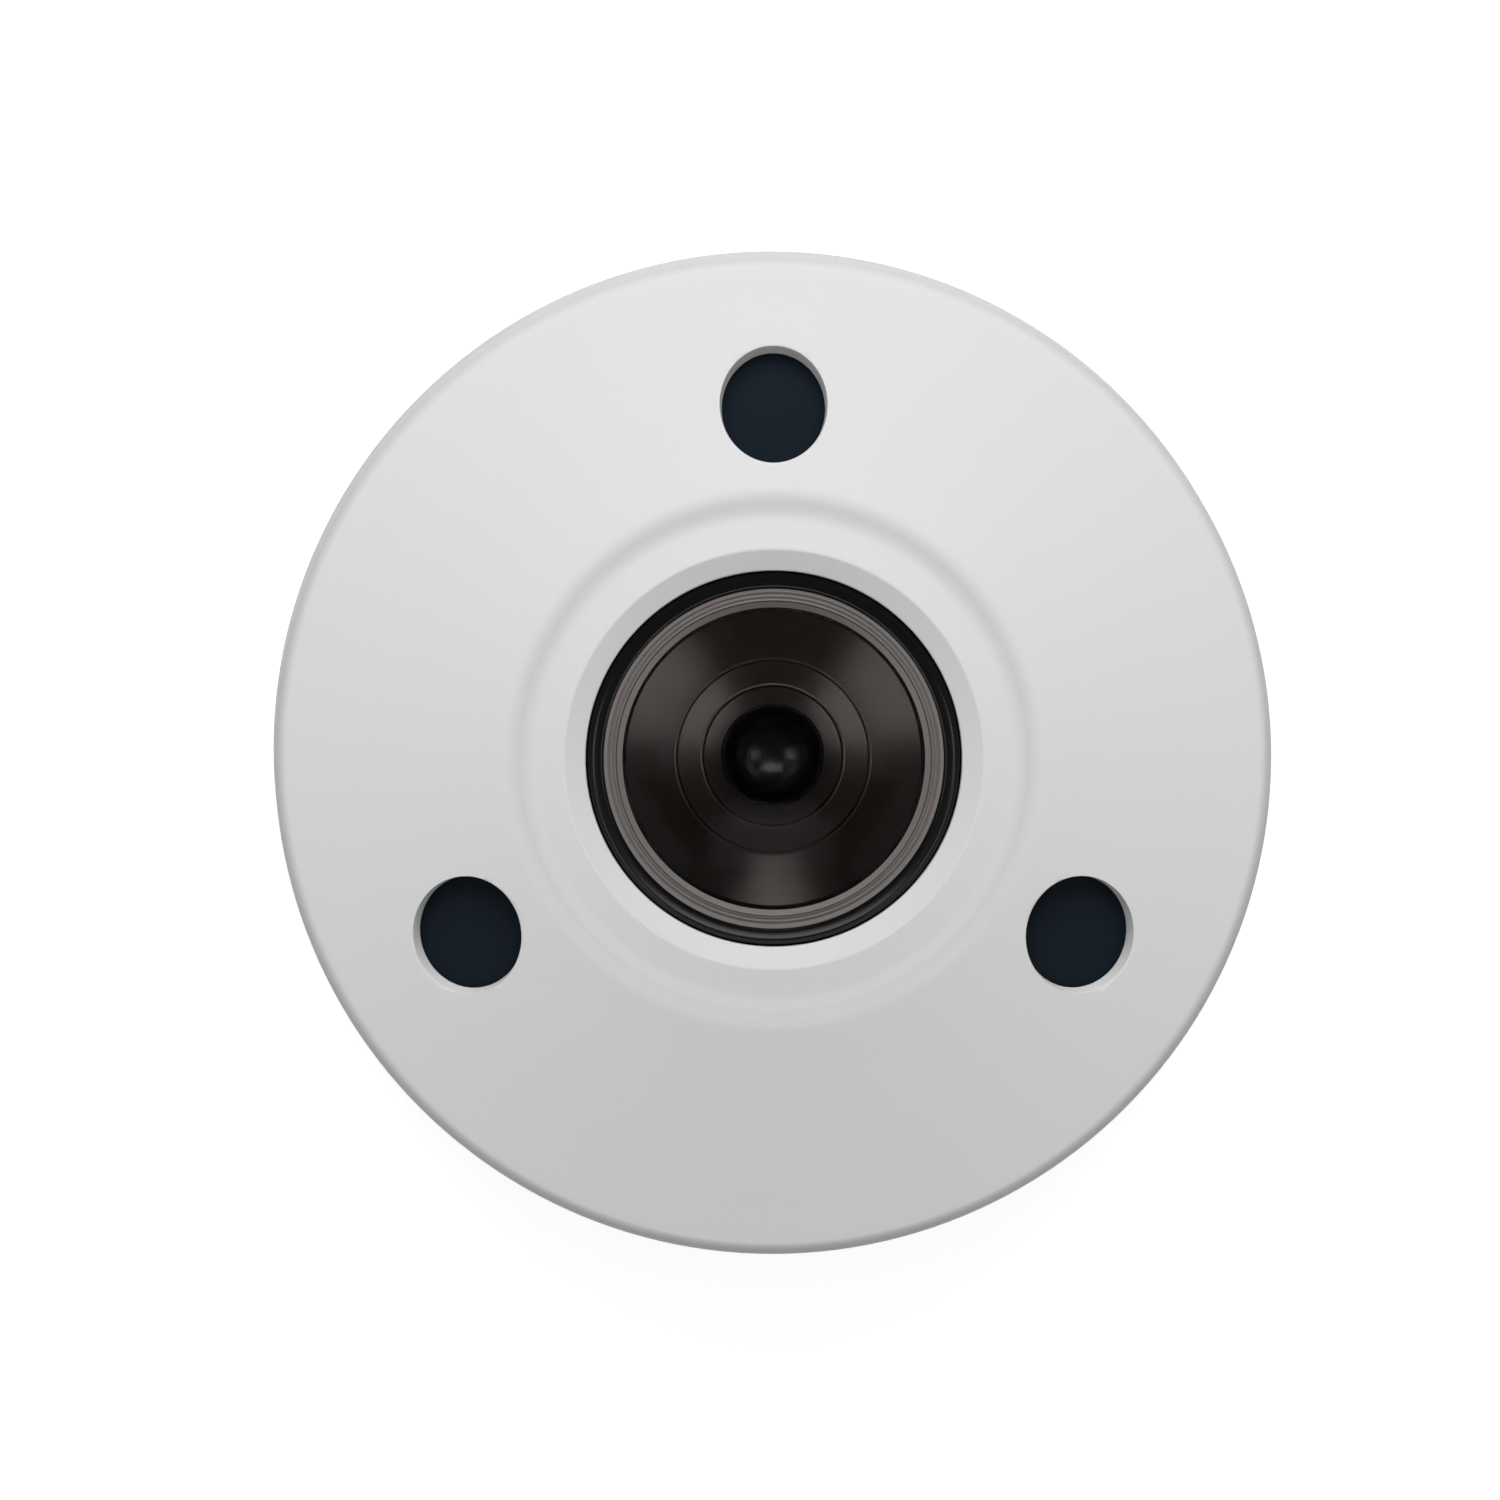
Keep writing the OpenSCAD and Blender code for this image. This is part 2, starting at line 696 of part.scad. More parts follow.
module cover_screws() {
    head_z = back_z + screw_head_h;
    color("silver") three(post_angle) translate([post_place_r, 0, head_z])
        screw(post_split_z + screw_bite - head_z);
}

module ir_window(i) {
    color("black") at_window(i) translate([0, 0, -window_back]) cylinder(r = window_r, h = window_t);
}

module window_seals() {
    color("dimgray") for (i = [0:2]) at_window(i) translate([0, 0, -recess_depth - window_seal_t])
        ring(recess_d / 2, window_r, window_seal_t);
}

module ir_board() {
    color("darkgreen") difference() {
        translate([0, 0, ir_z]) ring(ir_board_inner_r, main_board_r, ir_board_t);
        three(post_angle) translate([ir_post_place_r, 0, ir_z - overrun])
            cylinder(r = screw_r + seat_fit, h = ir_board_t + 2 * overrun);
    }
}

module at_diodes() {
    three(window_angles[0]) translate([diode_place_r, 0, ir_top_z]) children();
}

module ir_diodes() {
    color("gold") at_diodes() {
        slab(diode_side, diode_side, diode_h);
        translate([0, 0, diode_h]) intersection() {
            sphere(r = diode_dome_r);
            cylinder(r = diode_dome_r, h = diode_dome_r);
        }
    }
}

module diode_cups() {
    throat_r = diode_side / sqrt(2) + cup_throat_gap;
    color("silver") at_diodes() turned(
        [[throat_r, 0], [throat_r + cup_wall, 0], [cup_r, cup_h - cup_wall], [cup_r, cup_h],
            [cup_r - cup_wall, cup_h],
        [throat_r, cup_wall]]);
}

module ir_board_screws() {
    color("silver") three(post_angle) translate([ir_post_place_r, 0, ir_z])
        screw(ir_board_t + screw_bite - screw_end_gap);
}

module board_header() {
    color("black") at_board_share(header_at_share) translate([0, 0, main_top_z])
        slab(header_w, header_l, ir_z - main_top_z);
}

module front_glass() {
    outer = cap(glass_sphere_r, body_h, 0, glass_r);
    inner = cap(glass_hollow_r, glass_hollow_z, glass_seat_r, 0);
    color("lightcyan") turned(concat(outer, [[glass_r, glass_base_z]], inner));
}

module glass_ring() {
    top_z = lip_z - ring_lift;
    base_z = glass_free_z + ring_lift;
    inner_r = glass_free_r;
    outer_r = ring_r - ring_fit;
    ridge_w = (outer_r - inner_r) / ridge_count;
    ridge_h = (top_z - base_z) / ridge_count;
    steps = [for (i = [0:ridge_count - 1])
        let (r = inner_r + ridge_w * i, z = base_z + ridge_h * (i + 1))
        each [[r, z], [r + ridge_w, z]]];
    color("dimgray") turned(concat([[outer_r, base_z], [inner_r, base_z]], steps));
}

module glass_seal() {
    color("black") translate([0, 0, seat_z]) ring(glass_seat_r, glass_r, glass_seal_t);
}

module lens_barrel() {
    bore_top_z = glass_rim_z;
    profile = rounded(
        [[thread_r, barrel_z], [thread_r, waist_z], [waist_r, waist_z], [waist_r, baffle_foot_z],
        [baffle_top_r + barrel_wall, flange_z - flange_t], [flange_r, flange_z - flange_t],
            [flange_r, flange_z],
        [barrel_r, flange_z], [barrel_r, lip_z], [ring_r, lip_z], [ring_r, bore_top_z],
        [glass_r + seat_fit, bore_top_z], [glass_r + seat_fit, seat_z], [glass_seat_r, seat_z],
        [baffle_foot_r + seat_fit, baffle_throat_z], [baffle_foot_r + seat_fit, baffle_foot_z],
        [baffle_throat_r, baffle_foot_z], [baffle_throat_r, element_top_z], [element_bore_r, element_top_z],
        [element_bore_r, barrel_z]],
        [0, 0, 0, 0, 0, 0, 0, 0, lip_round, lip_round, 0, 0, 0, 0, 0, 0, 0, 0, 0, 0]);
    color("black") turned(profile);
}

module lens_baffle() {
    color("black") turned(
        [[baffle_top_r, seat_z], [first_line_r, baffle_first_z], [first_line_r, baffle_first_z - line_step],
        [second_line_r, baffle_second_z], [second_line_r, baffle_second_z - line_step],
        [baffle_throat_r, baffle_throat_z], [baffle_throat_r, baffle_foot_z], [baffle_foot_r, baffle_foot_z],
        [baffle_foot_r, baffle_throat_z]]);
}

module second_lens() {
    face_r = element_r * lens_face_share;
    rise = face_r * lens_rise_share + shoulder_t;
    sphere_r = (face_r * face_r + rise * rise) / (2 * rise);
    hollow_r = element_r * lens_hollow_share;
    color("darkslategray") difference() {
        turned(concat(cap(sphere_r, element_z(0) + rise, 0, face_r),
            [[element_r, element_z(0)], [element_r, element_z(1)], [0, element_z(1)]]));
        translate([0, 0, element_z(1)]) sphere(r = hollow_r);
    }
}

module lens_spacer() {
    color("black") translate([0, 0, element_z(2)])
        ring(element_r * lens_face_share, element_r, element_z(1) - element_z(2));
}

module third_lens() {
    rise = (element_z(1) - element_z(2)) / 2;
    face_r = element_r * lens_hollow_share * 2;
    color("lightcyan") {
        translate([0, 0, element_z(3)]) cylinder(r = element_r, h = element_z(2) - element_z(3));
        translate([0, 0, element_z(2)]) cylinder(r1 = face_r, r2 = face_r / 2, h = rise);
    }
}

module aperture_stop() {
    color("black") translate([0, 0, element_z(4)]) ring(stop_r, element_r, element_z(3) - element_z(4));
}

module rear_lens() {
    color("lightcyan") translate([0, 0, element_z(5)])
        cylinder(r = element_r, h = element_z(4) - element_z(5));
}

module rear_ring() {
    color("black") translate([0, 0, barrel_z + seat_fit])
        ring(element_r * lens_face_share, element_r, element_z(5) - barrel_z - seat_fit);
}

module lens_seal() {
    color("black") translate([0, 0, flange_z]) ring(opening_r, flange_r, lens_seal_t);
}

module at_holder_screws() {
    for (x = [-1, 1] * (holder_x - sensor_post_r)) translate([x, holder_front_y + sensor_post_r, 0])
        children();
}

// Places a child on the lever's pivot, turned to the lever's rest angle
module at_pivot() {
    translate([0, pivot_y, 0]) rotate([0, 0, -lever_swing]) children();
}

module lens_holder() {
    channel_x = carriage_l / 2 + carriage_pitch / 2 + slide_fit;
    sweep_x = lever_l * sin(lever_swing) + arm_w + slide_fit;
    pocket_y = drive_y - drive_pin_r - arm_w;
    rotor_r = magnet_r + slide_fit;
    sensor_well = sensor_side + 2 * cutout_gap;
    color("black") difference() {
        union() {
            translate([-holder_x, holder_front_y, sensor_z])
                cube([2 * holder_x, holder_back_y - holder_front_y, holder_top_z - sensor_z]);
            translate([0, 0, holder_top_z]) cylinder(r = holder_tube_r, h = holder_tube_z - holder_top_z);
        }
        translate([0, 0, holder_top_z]) cylinder(r = thread_r + pin_fit, h = body_h);
        translate([0, 0, sensor_z - overrun])
            slab(sensor_well, sensor_well, channel_z - channel_floor_t - sensor_z + overrun);
        translate([0, 0, sensor_z]) cylinder(r = light_r, h = body_h);
        translate([-channel_x, -carriage_w / 2 - slide_fit, channel_z])
            cube([2 * channel_x, carriage_w + 2 * slide_fit, channel_h]);
        translate([-channel_x, 0, channel_z])
            cube([2 * channel_x, carriage_w / 2 + drive_tab_l + slide_fit, channel_h]);
        translate([-sweep_x, pocket_y, channel_z + channel_h - slide_fit])
            cube([2 * sweep_x, pivot_y + rotor_r - pocket_y, arm_pocket_h + slide_fit]);
        translate([0, pivot_y, sensor_z + holder_roof_t])
            cylinder(r = rotor_r, h = arm_z - sensor_z - holder_roof_t);
        translate([0, pivot_y, sensor_z - overrun]) cylinder(r = pivot_r + seat_fit, h = holder_top_z);
        translate([rotor_r + coil_gap, pivot_y - coil_r - coil_gap, sensor_z + holder_roof_t])
            cube([holder_x, 2 * (coil_r + coil_gap), 2 * (coil_r + coil_gap)]);
        at_holder_screws() translate([0, 0, sensor_z - overrun])
            cylinder(r = screw_r + seat_fit, h = screw_bite + overrun);
    }
}

module holder_screws() {
    color("silver") at_holder_screws() translate([0, 0, sensor_board_z])
        screw(sensor_board_t + screw_bite - screw_end_gap);
}

module filter_seat(x) {
    translate([x, 0, carriage_z - overrun])
        slab(filter_side - 2 * filter_ledge, filter_side - 2 * filter_ledge, carriage_t + 2 * overrun);
    translate([x, 0, carriage_z + carriage_t - filter_t])
        slab(filter_side + 2 * seat_fit, filter_side + 2 * seat_fit, filter_t + overrun);
}

module filter_carriage() {
    start_x = -carriage_pitch / 2 - carriage_l / 2;
    slot_x = -lever_l * sin(lever_swing);
    slot_y = drive_y + lever_l * cos(lever_swing) - lever_l - drive_pin_r - slide_fit;
    tab_w = 2 * drive_pin_r + 4 * carriage_rib;
    color("dimgray") difference() {
        union() {
            translate([start_x, -carriage_w / 2, carriage_z]) cube([carriage_l, carriage_w, carriage_t]);
            translate([slot_x - tab_w / 2, 0, carriage_z])
                cube([tab_w, carriage_w / 2 + drive_tab_l, carriage_t]);
        }
        for (x = [0, -carriage_pitch]) filter_seat(x);
        translate([slot_x - drive_pin_r - pin_fit, slot_y, carriage_z - overrun])
            cube([2 * (drive_pin_r + pin_fit), drive_slot_l, carriage_t + 2 * overrun]);
    }
}

module filter_glass(x) {
    translate([x, 0, carriage_z + carriage_t - filter_t]) slab(filter_side, filter_side, filter_t);
}

module ir_cut_filter() {
    color("lightblue") filter_glass(0);
}

module clear_filter() {
    color("lightcyan") filter_glass(-carriage_pitch);
}

module filter_lever() {
    magnet_z = sensor_z + holder_roof_t + slide_fit;
    color("dimgray") at_pivot() difference() {
        union() {
            translate([0, 0, magnet_z]) cylinder(r = magnet_r, h = arm_z + arm_t - magnet_z);
            translate([-arm_w / 2, -lever_l, arm_z]) cube([arm_w, lever_l, arm_t]);
            translate([0, -lever_l, arm_z]) cylinder(r = arm_w / 2, h = arm_t);
            translate([0, -lever_l, carriage_z + slide_fit])
                cylinder(r = drive_pin_r, h = arm_z + arm_t - carriage_z - slide_fit);
        }
        cylinder(r = pivot_r + pin_fit, h = body_h);
    }
}

module lever_pin() {
    color("silver") translate([0, pivot_y, sensor_z]) cylinder(r = pivot_r, h = holder_top_z - sensor_z);
}

module switch_coil() {
    coil_z = sensor_z + holder_roof_t + coil_r + coil_gap;
    color("peru") translate([magnet_r + slide_fit + 2 * coil_gap, pivot_y, coil_z]) rotate([0, 90, 0]) {
        cylinder(r = coil_r, h = coil_l);
        cylinder(r = coil_core_r, h = coil_l + coil_core_proud);
    }
}

module sensor_board() {
    color("darkgreen") difference() {
        translate([-sensor_board_x, sensor_board_front_y, sensor_board_z])
            cube([2 * sensor_board_x, sensor_board_back_y - sensor_board_front_y, sensor_board_t]);
        translate([0, 0, sensor_board_z - overrun]) {
            at_sensor_screws() cylinder(r = screw_r + seat_fit, h = sensor_board_t + 2 * overrun);
            at_holder_screws() cylinder(r = screw_r + seat_fit, h = sensor_board_t + 2 * overrun);
        }
    }
}

module image_sensor() {
    color("dimgray") translate([0, 0, sensor_z]) slab(sensor_side, sensor_side, sensor_h);
}

module sensor_glass() {
    glass_side = sensor_side * sensor_glass_share;
    color("teal") translate([0, 0, sensor_z + sensor_h])
        slab(glass_side, glass_side * sensor_glass_share, sensor_glass_t);
}

module sensor_screws() {
    color("silver") at_sensor_screws() translate([0, 0, sensor_z]) mirror([0, 0, 1])
        screw(sensor_board_t + sensor_post_h);
}

// Flat cable from the sensor board up to the main board
module sensor_ribbon() {
    low_z = sensor_z + ribbon_socket_h / 2;
    high_z = main_z - ribbon_socket_h / 2;
    inner_x = sensor_board_x - ribbon_socket_d;
    outer_x = sensor_board_x + ribbon_bulge;
    end_x = sensor_board_x + ribbon_reach;
    path = rounded([[-inner_x, low_z], [-outer_x, low_z], [-outer_x, high_z], [-end_x, high_z],
        [-end_x, high_z - ribbon_t], [-outer_x - ribbon_t, high_z - ribbon_t],
            [-outer_x - ribbon_t, low_z - ribbon_t],
        [-inner_x, low_z - ribbon_t]],
        [0, ribbon_t, 2 * ribbon_t, 0, 0, ribbon_t, 2 * ribbon_t, 0]);
    color("khaki") translate([0, ribbon_w / 2, 0]) rotate([90, 0, 0]) linear_extrude(ribbon_w) polygon(path);
}

module ribbon_sockets() {
    color("ivory") difference() {
        union() {
            translate([-sensor_board_x + ribbon_socket_d / 2, 0, sensor_z])
                slab(ribbon_socket_d, ribbon_socket_w, ribbon_socket_h);
            translate([-sensor_board_x - ribbon_reach, 0, main_z - ribbon_socket_h])
                slab(ribbon_socket_d, ribbon_socket_w, ribbon_socket_h);
        }
        for (z = [sensor_z + ribbon_socket_h / 2, main_z - ribbon_socket_h / 2])
            translate([-sensor_board_x - ribbon_reach / 2, 0, z - ribbon_t - seat_fit])
                slab(2 * (ribbon_reach + ribbon_socket_d), ribbon_w + 2 * seat_fit, ribbon_t + 2 * seat_fit);
    }
}

module main_board() {
    color("darkgreen") difference() {
        translate([0, 0, main_z]) ring(main_hole_r, main_board_r, board_t);
        translate([0, 0, main_z - overrun]) at_main_screws()
            cylinder(r = screw_r + seat_fit, h = board_t + 2 * overrun);
    }
}

module main_screws() {
    color("silver") translate([0, 0, main_top_z]) at_main_screws() mirror([0, 0, 1])
        screw(board_t + screw_bite - screw_end_gap);
}

module processor() {
    color("dimgray") at_board_share(processor_at_share) translate([0, 0, main_z - processor_h])
        slab(processor_side, processor_side, processor_h);
}

module heat_pad() {
    pad_side = processor_side * heat_pad_side_share;
    color("lightblue") at_board_share(processor_at_share)
        translate([0, 0, main_z - processor_h - heat_pad_t])
        slab(pad_side, pad_side, heat_pad_t);
}

module memory_chips() {
    color("dimgray") for (i = [0, 1]) at_board_share(memory_at_share + [i * memory_pitch_share, 0])
        translate([0, 0, main_z - memory_h]) slab(memory_w, memory_d, memory_h);
}

module power_transformer() {
    flange_z = [main_z - transformer_flange_t, main_z - transformer_h];
    color("goldenrod") translate([transformer_x, transformer_y_share * main_board_r, 0]) {
        translate([0, 0, main_z - transformer_h]) cylinder(r = transformer_core_side / 2, h = transformer_h);
        for (z = flange_z) translate([0, 0, z])
            slab(transformer_side, transformer_side, transformer_flange_t);
    }
}

module capacitors() {
    color("slategray") for (share = capacitor_at_share) at_board_share(share) {
        translate([0, 0, main_z - capacitor_foot_h])
            slab(2 * capacitor_r, 2 * capacitor_r, capacitor_foot_h);
        translate([0, 0, main_z - capacitor_h])
            cylinder(r = capacitor_can_r, h = capacitor_h - capacitor_foot_h);
    }
}

module backup_battery() {
    color("silver") at_board_share(battery_at_share) translate([0, 0, main_top_z])
        cylinder(r = battery_r, h = battery_h);
}

module battery_clip() {
    reach = battery_r + seat_fit + clip_t;
    color("gold") at_board_share(battery_at_share) translate([0, 0, main_top_z]) {
        translate([-reach, -clip_w / 2, battery_h + seat_fit]) cube([2 * reach, clip_w, clip_t]);
        for (side = [-1, 1]) mirrored(side) {
            translate([reach - clip_t, -clip_w / 2, 0])
                cube([clip_t, clip_w, battery_h + seat_fit + clip_t]);
            translate([reach - clip_t, -clip_w / 2, 0]) cube([clip_foot, clip_w, clip_t]);
        }
    }
}

// Mirrors a child in x for the side -1
module mirrored(side) {
    mirror([side < 0 ? 1 : 0, 0, 0]) children();
}

module network_jack() {
    middle_y = jack_y + jack_w / 2;
    socket_z = main_z - jack_h + (jack_h - socket_h) * socket_rise_share;
    color("silver") difference() {
        translate([bay_left_x - jack_l, jack_y, main_z - jack_h]) cube([jack_l, jack_w, jack_h]);
        translate([bay_left_x - socket_l, middle_y - socket_w / 2, socket_z])
            cube([socket_l + overrun, socket_w, socket_h]);
        translate([bay_left_x - socket_l, middle_y - latch_w / 2, socket_z - latch_h])
            cube([socket_l + overrun, latch_w, latch_h + overrun]);
    }
}

module jack_contacts() {
    middle_y = jack_y + jack_w / 2;
    socket_top = main_z - jack_h + (jack_h - socket_h) * socket_rise_share + socket_h;
    color("gold") for (i = [0:contact_count - 1])
        translate([bay_left_x - socket_l,
            middle_y + (i - (contact_count - 1) / 2) * contact_pitch - contact_w / 2,
            socket_top - contact_t]) cube([contact_l, contact_w, contact_t]);
}

module power_jack() {
    middle_y = power_y + power_w / 2;
    middle_z = main_z - power_h / 2;
    color("dimgray") difference() {
        translate([bay_left_x - power_l, power_y, main_z - power_h]) cube([power_l, power_w, power_h]);
        translate([bay_left_x - power_bore_l, middle_y, middle_z]) rotate([0, 90, 0])
            cylinder(r = power_bore_r, h = power_bore_l + overrun);
        translate([bay_left_x - power_l + power_pin_root, middle_y, middle_z]) rotate([0, 90, 0])
            cylinder(r = power_pin_r + seat_fit, h = power_l);
    }
}

module power_pin() {
    start_x = bay_left_x - power_l + power_pin_root;
    color("silver") translate([start_x, power_y + power_w / 2, main_z - power_h / 2])
        rotate([0, 90, 0]) cylinder(r = power_pin_r, h = bay_left_x - power_pin_back - start_x);
}

module at_terminals() {
    for (i = [0:terminal_ways - 1])
        translate([terminal_x + terminal_end_w + (i + 0.5) * terminal_pitch, terminal_y,
            main_z - terminal_h]) children();
}

module terminal_block() {
    color("seagreen") difference() {
        translate([terminal_x, terminal_y, main_z - terminal_h]) cube([terminal_w, terminal_d, terminal_h]);
        at_terminals() {
            translate([-terminal_wire_w / 2, terminal_d / 2, terminal_wire_lift])
                cube([terminal_wire_w, terminal_d, terminal_wire_h]);
            translate([0, terminal_d / 4, -overrun])
                cylinder(r = terminal_screw_r + seat_fit,
                    h = terminal_screw_drop + terminal_screw_h + overrun);
        }
    }
}

module terminal_screws() {
    color("silver") at_terminals() translate([0, terminal_d / 4, terminal_screw_drop]) difference() {
        cylinder(r = terminal_screw_r, h = terminal_screw_h);
        translate([0, 0, -overrun]) slab(terminal_screw_r * 2, screw_slot_w, overrun + terminal_screw_drop);
    }
}

module card_socket() {
    start_y = bay_back_y + bay_wall + seat_fit;
    width = card_w + 2 * (card_socket_wall + slide_fit);
    color("silver") difference() {
        translate([card_socket_x, start_y, main_z - card_socket_h])
            cube([width, card_socket_l, card_socket_h]);
        translate([card_x - slide_fit, start_y - overrun, card_z - slide_fit])
            cube([card_w + 2 * slide_fit, card_socket_l - card_socket_wall + overrun, card_slot_t]);
    }
}

module memory_card() {
    color("black") {
        translate([card_x, bay_back_y - card_proud, card_z]) cube([card_w, card_l, card_t - card_grip_t]);
        translate([card_x, bay_back_y - card_proud, card_z]) cube([card_w, card_grip_w, card_t]);
    }
}

module reset_switch() {
    color("dimgray") translate([reset_x, reset_y, main_z - reset_switch_h]) difference() {
        slab(reset_switch_side, reset_switch_side, reset_switch_h);
        translate([0, 0, -overrun]) cylinder(r = reset_stem_r + pin_fit, h = overrun + reset_bore_l);
    }
}

module reset_button() {
    top_z = main_z - reset_switch_h - reset_gap;
    color("black") translate([reset_x, reset_y, top_z - reset_cap_h]) {
        cylinder(r = reset_cap_r, h = reset_cap_h);
        cylinder(r = reset_stem_r, h = reset_cap_h + reset_gap + reset_stem_l);
    }
}

mounting_plate();
rear_housing();
bayonet_studs();
front_cover();
cover_seal();
cover_screws();
ir_window(0);  // ir_window_top
ir_window(1);  // ir_window_left
ir_window(2);  // ir_window_right
window_seals();
ir_board();
ir_diodes();
diode_cups();
ir_board_screws();
board_header();
front_glass();
glass_ring();
glass_seal();
lens_barrel();
lens_baffle();
second_lens();
third_lens();
rear_lens();
lens_spacer();
aperture_stop();
rear_ring();
lens_seal();
lens_holder();
holder_screws();
filter_carriage();
ir_cut_filter();
clear_filter();
filter_lever();
lever_pin();
switch_coil();
sensor_board();
image_sensor();
sensor_glass();
sensor_screws();
sensor_ribbon();
ribbon_sockets();
main_board();
main_screws();
processor();
heat_pad();
memory_chips();
power_transformer();
capacitors();
backup_battery();
battery_clip();
network_jack();
jack_contacts();
power_jack();
power_pin();
terminal_block();
terminal_screws();
card_socket();
memory_card();
reset_switch();
reset_button();
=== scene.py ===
import json
import math

import bpy
from mathutils import Matrix, Vector


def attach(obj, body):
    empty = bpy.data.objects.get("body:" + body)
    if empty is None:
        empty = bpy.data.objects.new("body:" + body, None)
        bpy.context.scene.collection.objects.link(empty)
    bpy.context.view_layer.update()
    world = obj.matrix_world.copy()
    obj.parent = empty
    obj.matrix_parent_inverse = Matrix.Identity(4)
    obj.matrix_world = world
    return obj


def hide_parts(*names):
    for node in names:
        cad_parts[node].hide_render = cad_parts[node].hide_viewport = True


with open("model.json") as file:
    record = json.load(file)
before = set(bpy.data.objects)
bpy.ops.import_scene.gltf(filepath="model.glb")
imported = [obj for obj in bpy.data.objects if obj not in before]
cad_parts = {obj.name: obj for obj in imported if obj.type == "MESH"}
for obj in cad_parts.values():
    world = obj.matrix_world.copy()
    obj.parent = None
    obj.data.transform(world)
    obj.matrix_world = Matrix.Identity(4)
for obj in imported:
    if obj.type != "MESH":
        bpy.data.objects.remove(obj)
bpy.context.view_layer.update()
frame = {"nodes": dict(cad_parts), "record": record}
mm = 0.001
turnSteps = 192  # flats round every turned piece
toolSteps = 96  # flats round the windows and the tools that cut their recesses
axisR = 0.4  # where an open outline stops short of the axis, and gets its cap
weld = 0.0004  # mm, for points that a cut leaves almost in one place

print("frame loaded:", len(frame["nodes"]), "nodes")


# modelling helpers

def deselectAll():
    if bpy.context.object and bpy.context.object.mode != "OBJECT":
        bpy.ops.object.mode_set(mode="OBJECT")
    bpy.ops.object.select_all(action="DESELECT")


def pickEdges(piece, wanted):
    bpy.ops.object.mode_set(mode="EDIT")
    bpy.ops.mesh.select_mode(type="EDGE")
    bpy.ops.mesh.select_all(action="DESELECT")
    bpy.ops.object.mode_set(mode="OBJECT")
    points = piece.data.vertices
    for edge in piece.data.edges:
        a, b = points[edge.vertices[0]].co, points[edge.vertices[1]].co
        edge.select = wanted(a) and wanted(b)
    bpy.ops.object.mode_set(mode="EDIT")


def onRing(radius, height):
    def wanted(p):
        return abs(math.hypot(p.x, p.y) - radius * mm) < 0.02 * mm and abs(p.z - height * mm) < 0.02 * mm
    return wanted


def roundRing(piece, radius, height, width, steps):
    pickEdges(piece, onRing(radius, height))
    bpy.ops.mesh.bevel(offset=width * mm, segments=steps, affect="EDGES", clamp_overlap=True)
    bpy.ops.object.mode_set(mode="OBJECT")


def arcOfSphere(sphereR, crown, r0, r1, steps):
    points = []
    for i in range(steps + 1):
        r = r0 + (r1 - r0) * i / steps
        points.append((r, crown - sphereR + math.sqrt(sphereR ** 2 - r ** 2)))
    return points


def turned(name, outline, closed=True, steps=turnSteps):
    # a ring of edges is extruded and resized to each next point of the outline
    deselectAll()
    r0, z0 = outline[0]
    bpy.ops.mesh.primitive_circle_add(
        vertices=steps, radius=r0 * mm, fill_type="NOTHING", location=(0, 0, z0 * mm))
    piece = bpy.context.object
    piece.name = name
    bpy.ops.object.transform_apply(location=True, rotation=True, scale=True)
    bpy.ops.object.mode_set(mode="EDIT")
    bpy.ops.mesh.select_mode(type="EDGE")
    bpy.ops.mesh.select_all(action="SELECT")
    for (ra, za), (rb, zb) in zip(outline, outline[1:] + ([outline[0]] if closed else [])):
        bpy.ops.mesh.extrude_edges_move(TRANSFORM_OT_translate={"value": (0, 0, (zb - za) * mm)})
        if rb != ra:
            bpy.ops.transform.resize(value=(rb / ra, rb / ra, 1), center_override=(0, 0, zb * mm))
    bpy.ops.mesh.select_all(action="SELECT")
    bpy.ops.mesh.remove_doubles(threshold=0.004 * mm)
    if not closed:  # both ends meet the axis, and get a small flat cap
        bpy.ops.mesh.select_all(action="DESELECT")
        bpy.ops.mesh.select_non_manifold()
        bpy.ops.mesh.fill_holes(sides=0)
        bpy.ops.mesh.select_all(action="SELECT")
    bpy.ops.mesh.normals_make_consistent(inside=False)
    bpy.ops.object.mode_set(mode="OBJECT")
    return piece


def smooth(piece, angle=38):
    deselectAll()
    piece.select_set(True)
    bpy.context.view_layer.objects.active = piece
    bpy.ops.object.shade_smooth_by_angle(angle=math.radians(angle))


def cutWith(piece, tool, kind="DIFFERENCE"):
    deselectAll()
    piece.select_set(True)
    bpy.context.view_layer.objects.active = piece
    cut = piece.modifiers.new("cut", "BOOLEAN")
    cut.operation = kind
    cut.solver = "EXACT"
    cut.object = tool
    bpy.ops.object.modifier_apply(modifier=cut.name)
    bpy.data.objects.remove(tool, do_unlink=True)
    bpy.ops.object.mode_set(mode="EDIT")
    bpy.ops.mesh.select_all(action="SELECT")
    bpy.ops.mesh.remove_doubles(threshold=weld * mm)
    bpy.ops.mesh.dissolve_degenerate(threshold=weld * mm)
    bpy.ops.object.mode_set(mode="OBJECT")


def finished(piece, material, slotName, *nodes, body="camera"):
    piece.data.materials.clear()
    piece.data.materials.append(material)
    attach(piece, body)
    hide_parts(*nodes)


# shared effects

def newGroup(name, inputs, outputs):
    group = bpy.data.node_groups.new(name, "ShaderNodeTree")
    for label, kind, value in inputs:
        socket = group.interface.new_socket(name=label, in_out="INPUT", socket_type=kind)
        socket.default_value = value
    for label, kind in outputs:
        group.interface.new_socket(name=label, in_out="OUTPUT", socket_type=kind)
    entry = group.nodes.new("NodeGroupInput")
    leave = group.nodes.new("NodeGroupOutput")
    return group, entry, leave


def join(tree, start, end):
    tree.links.new(start, end)


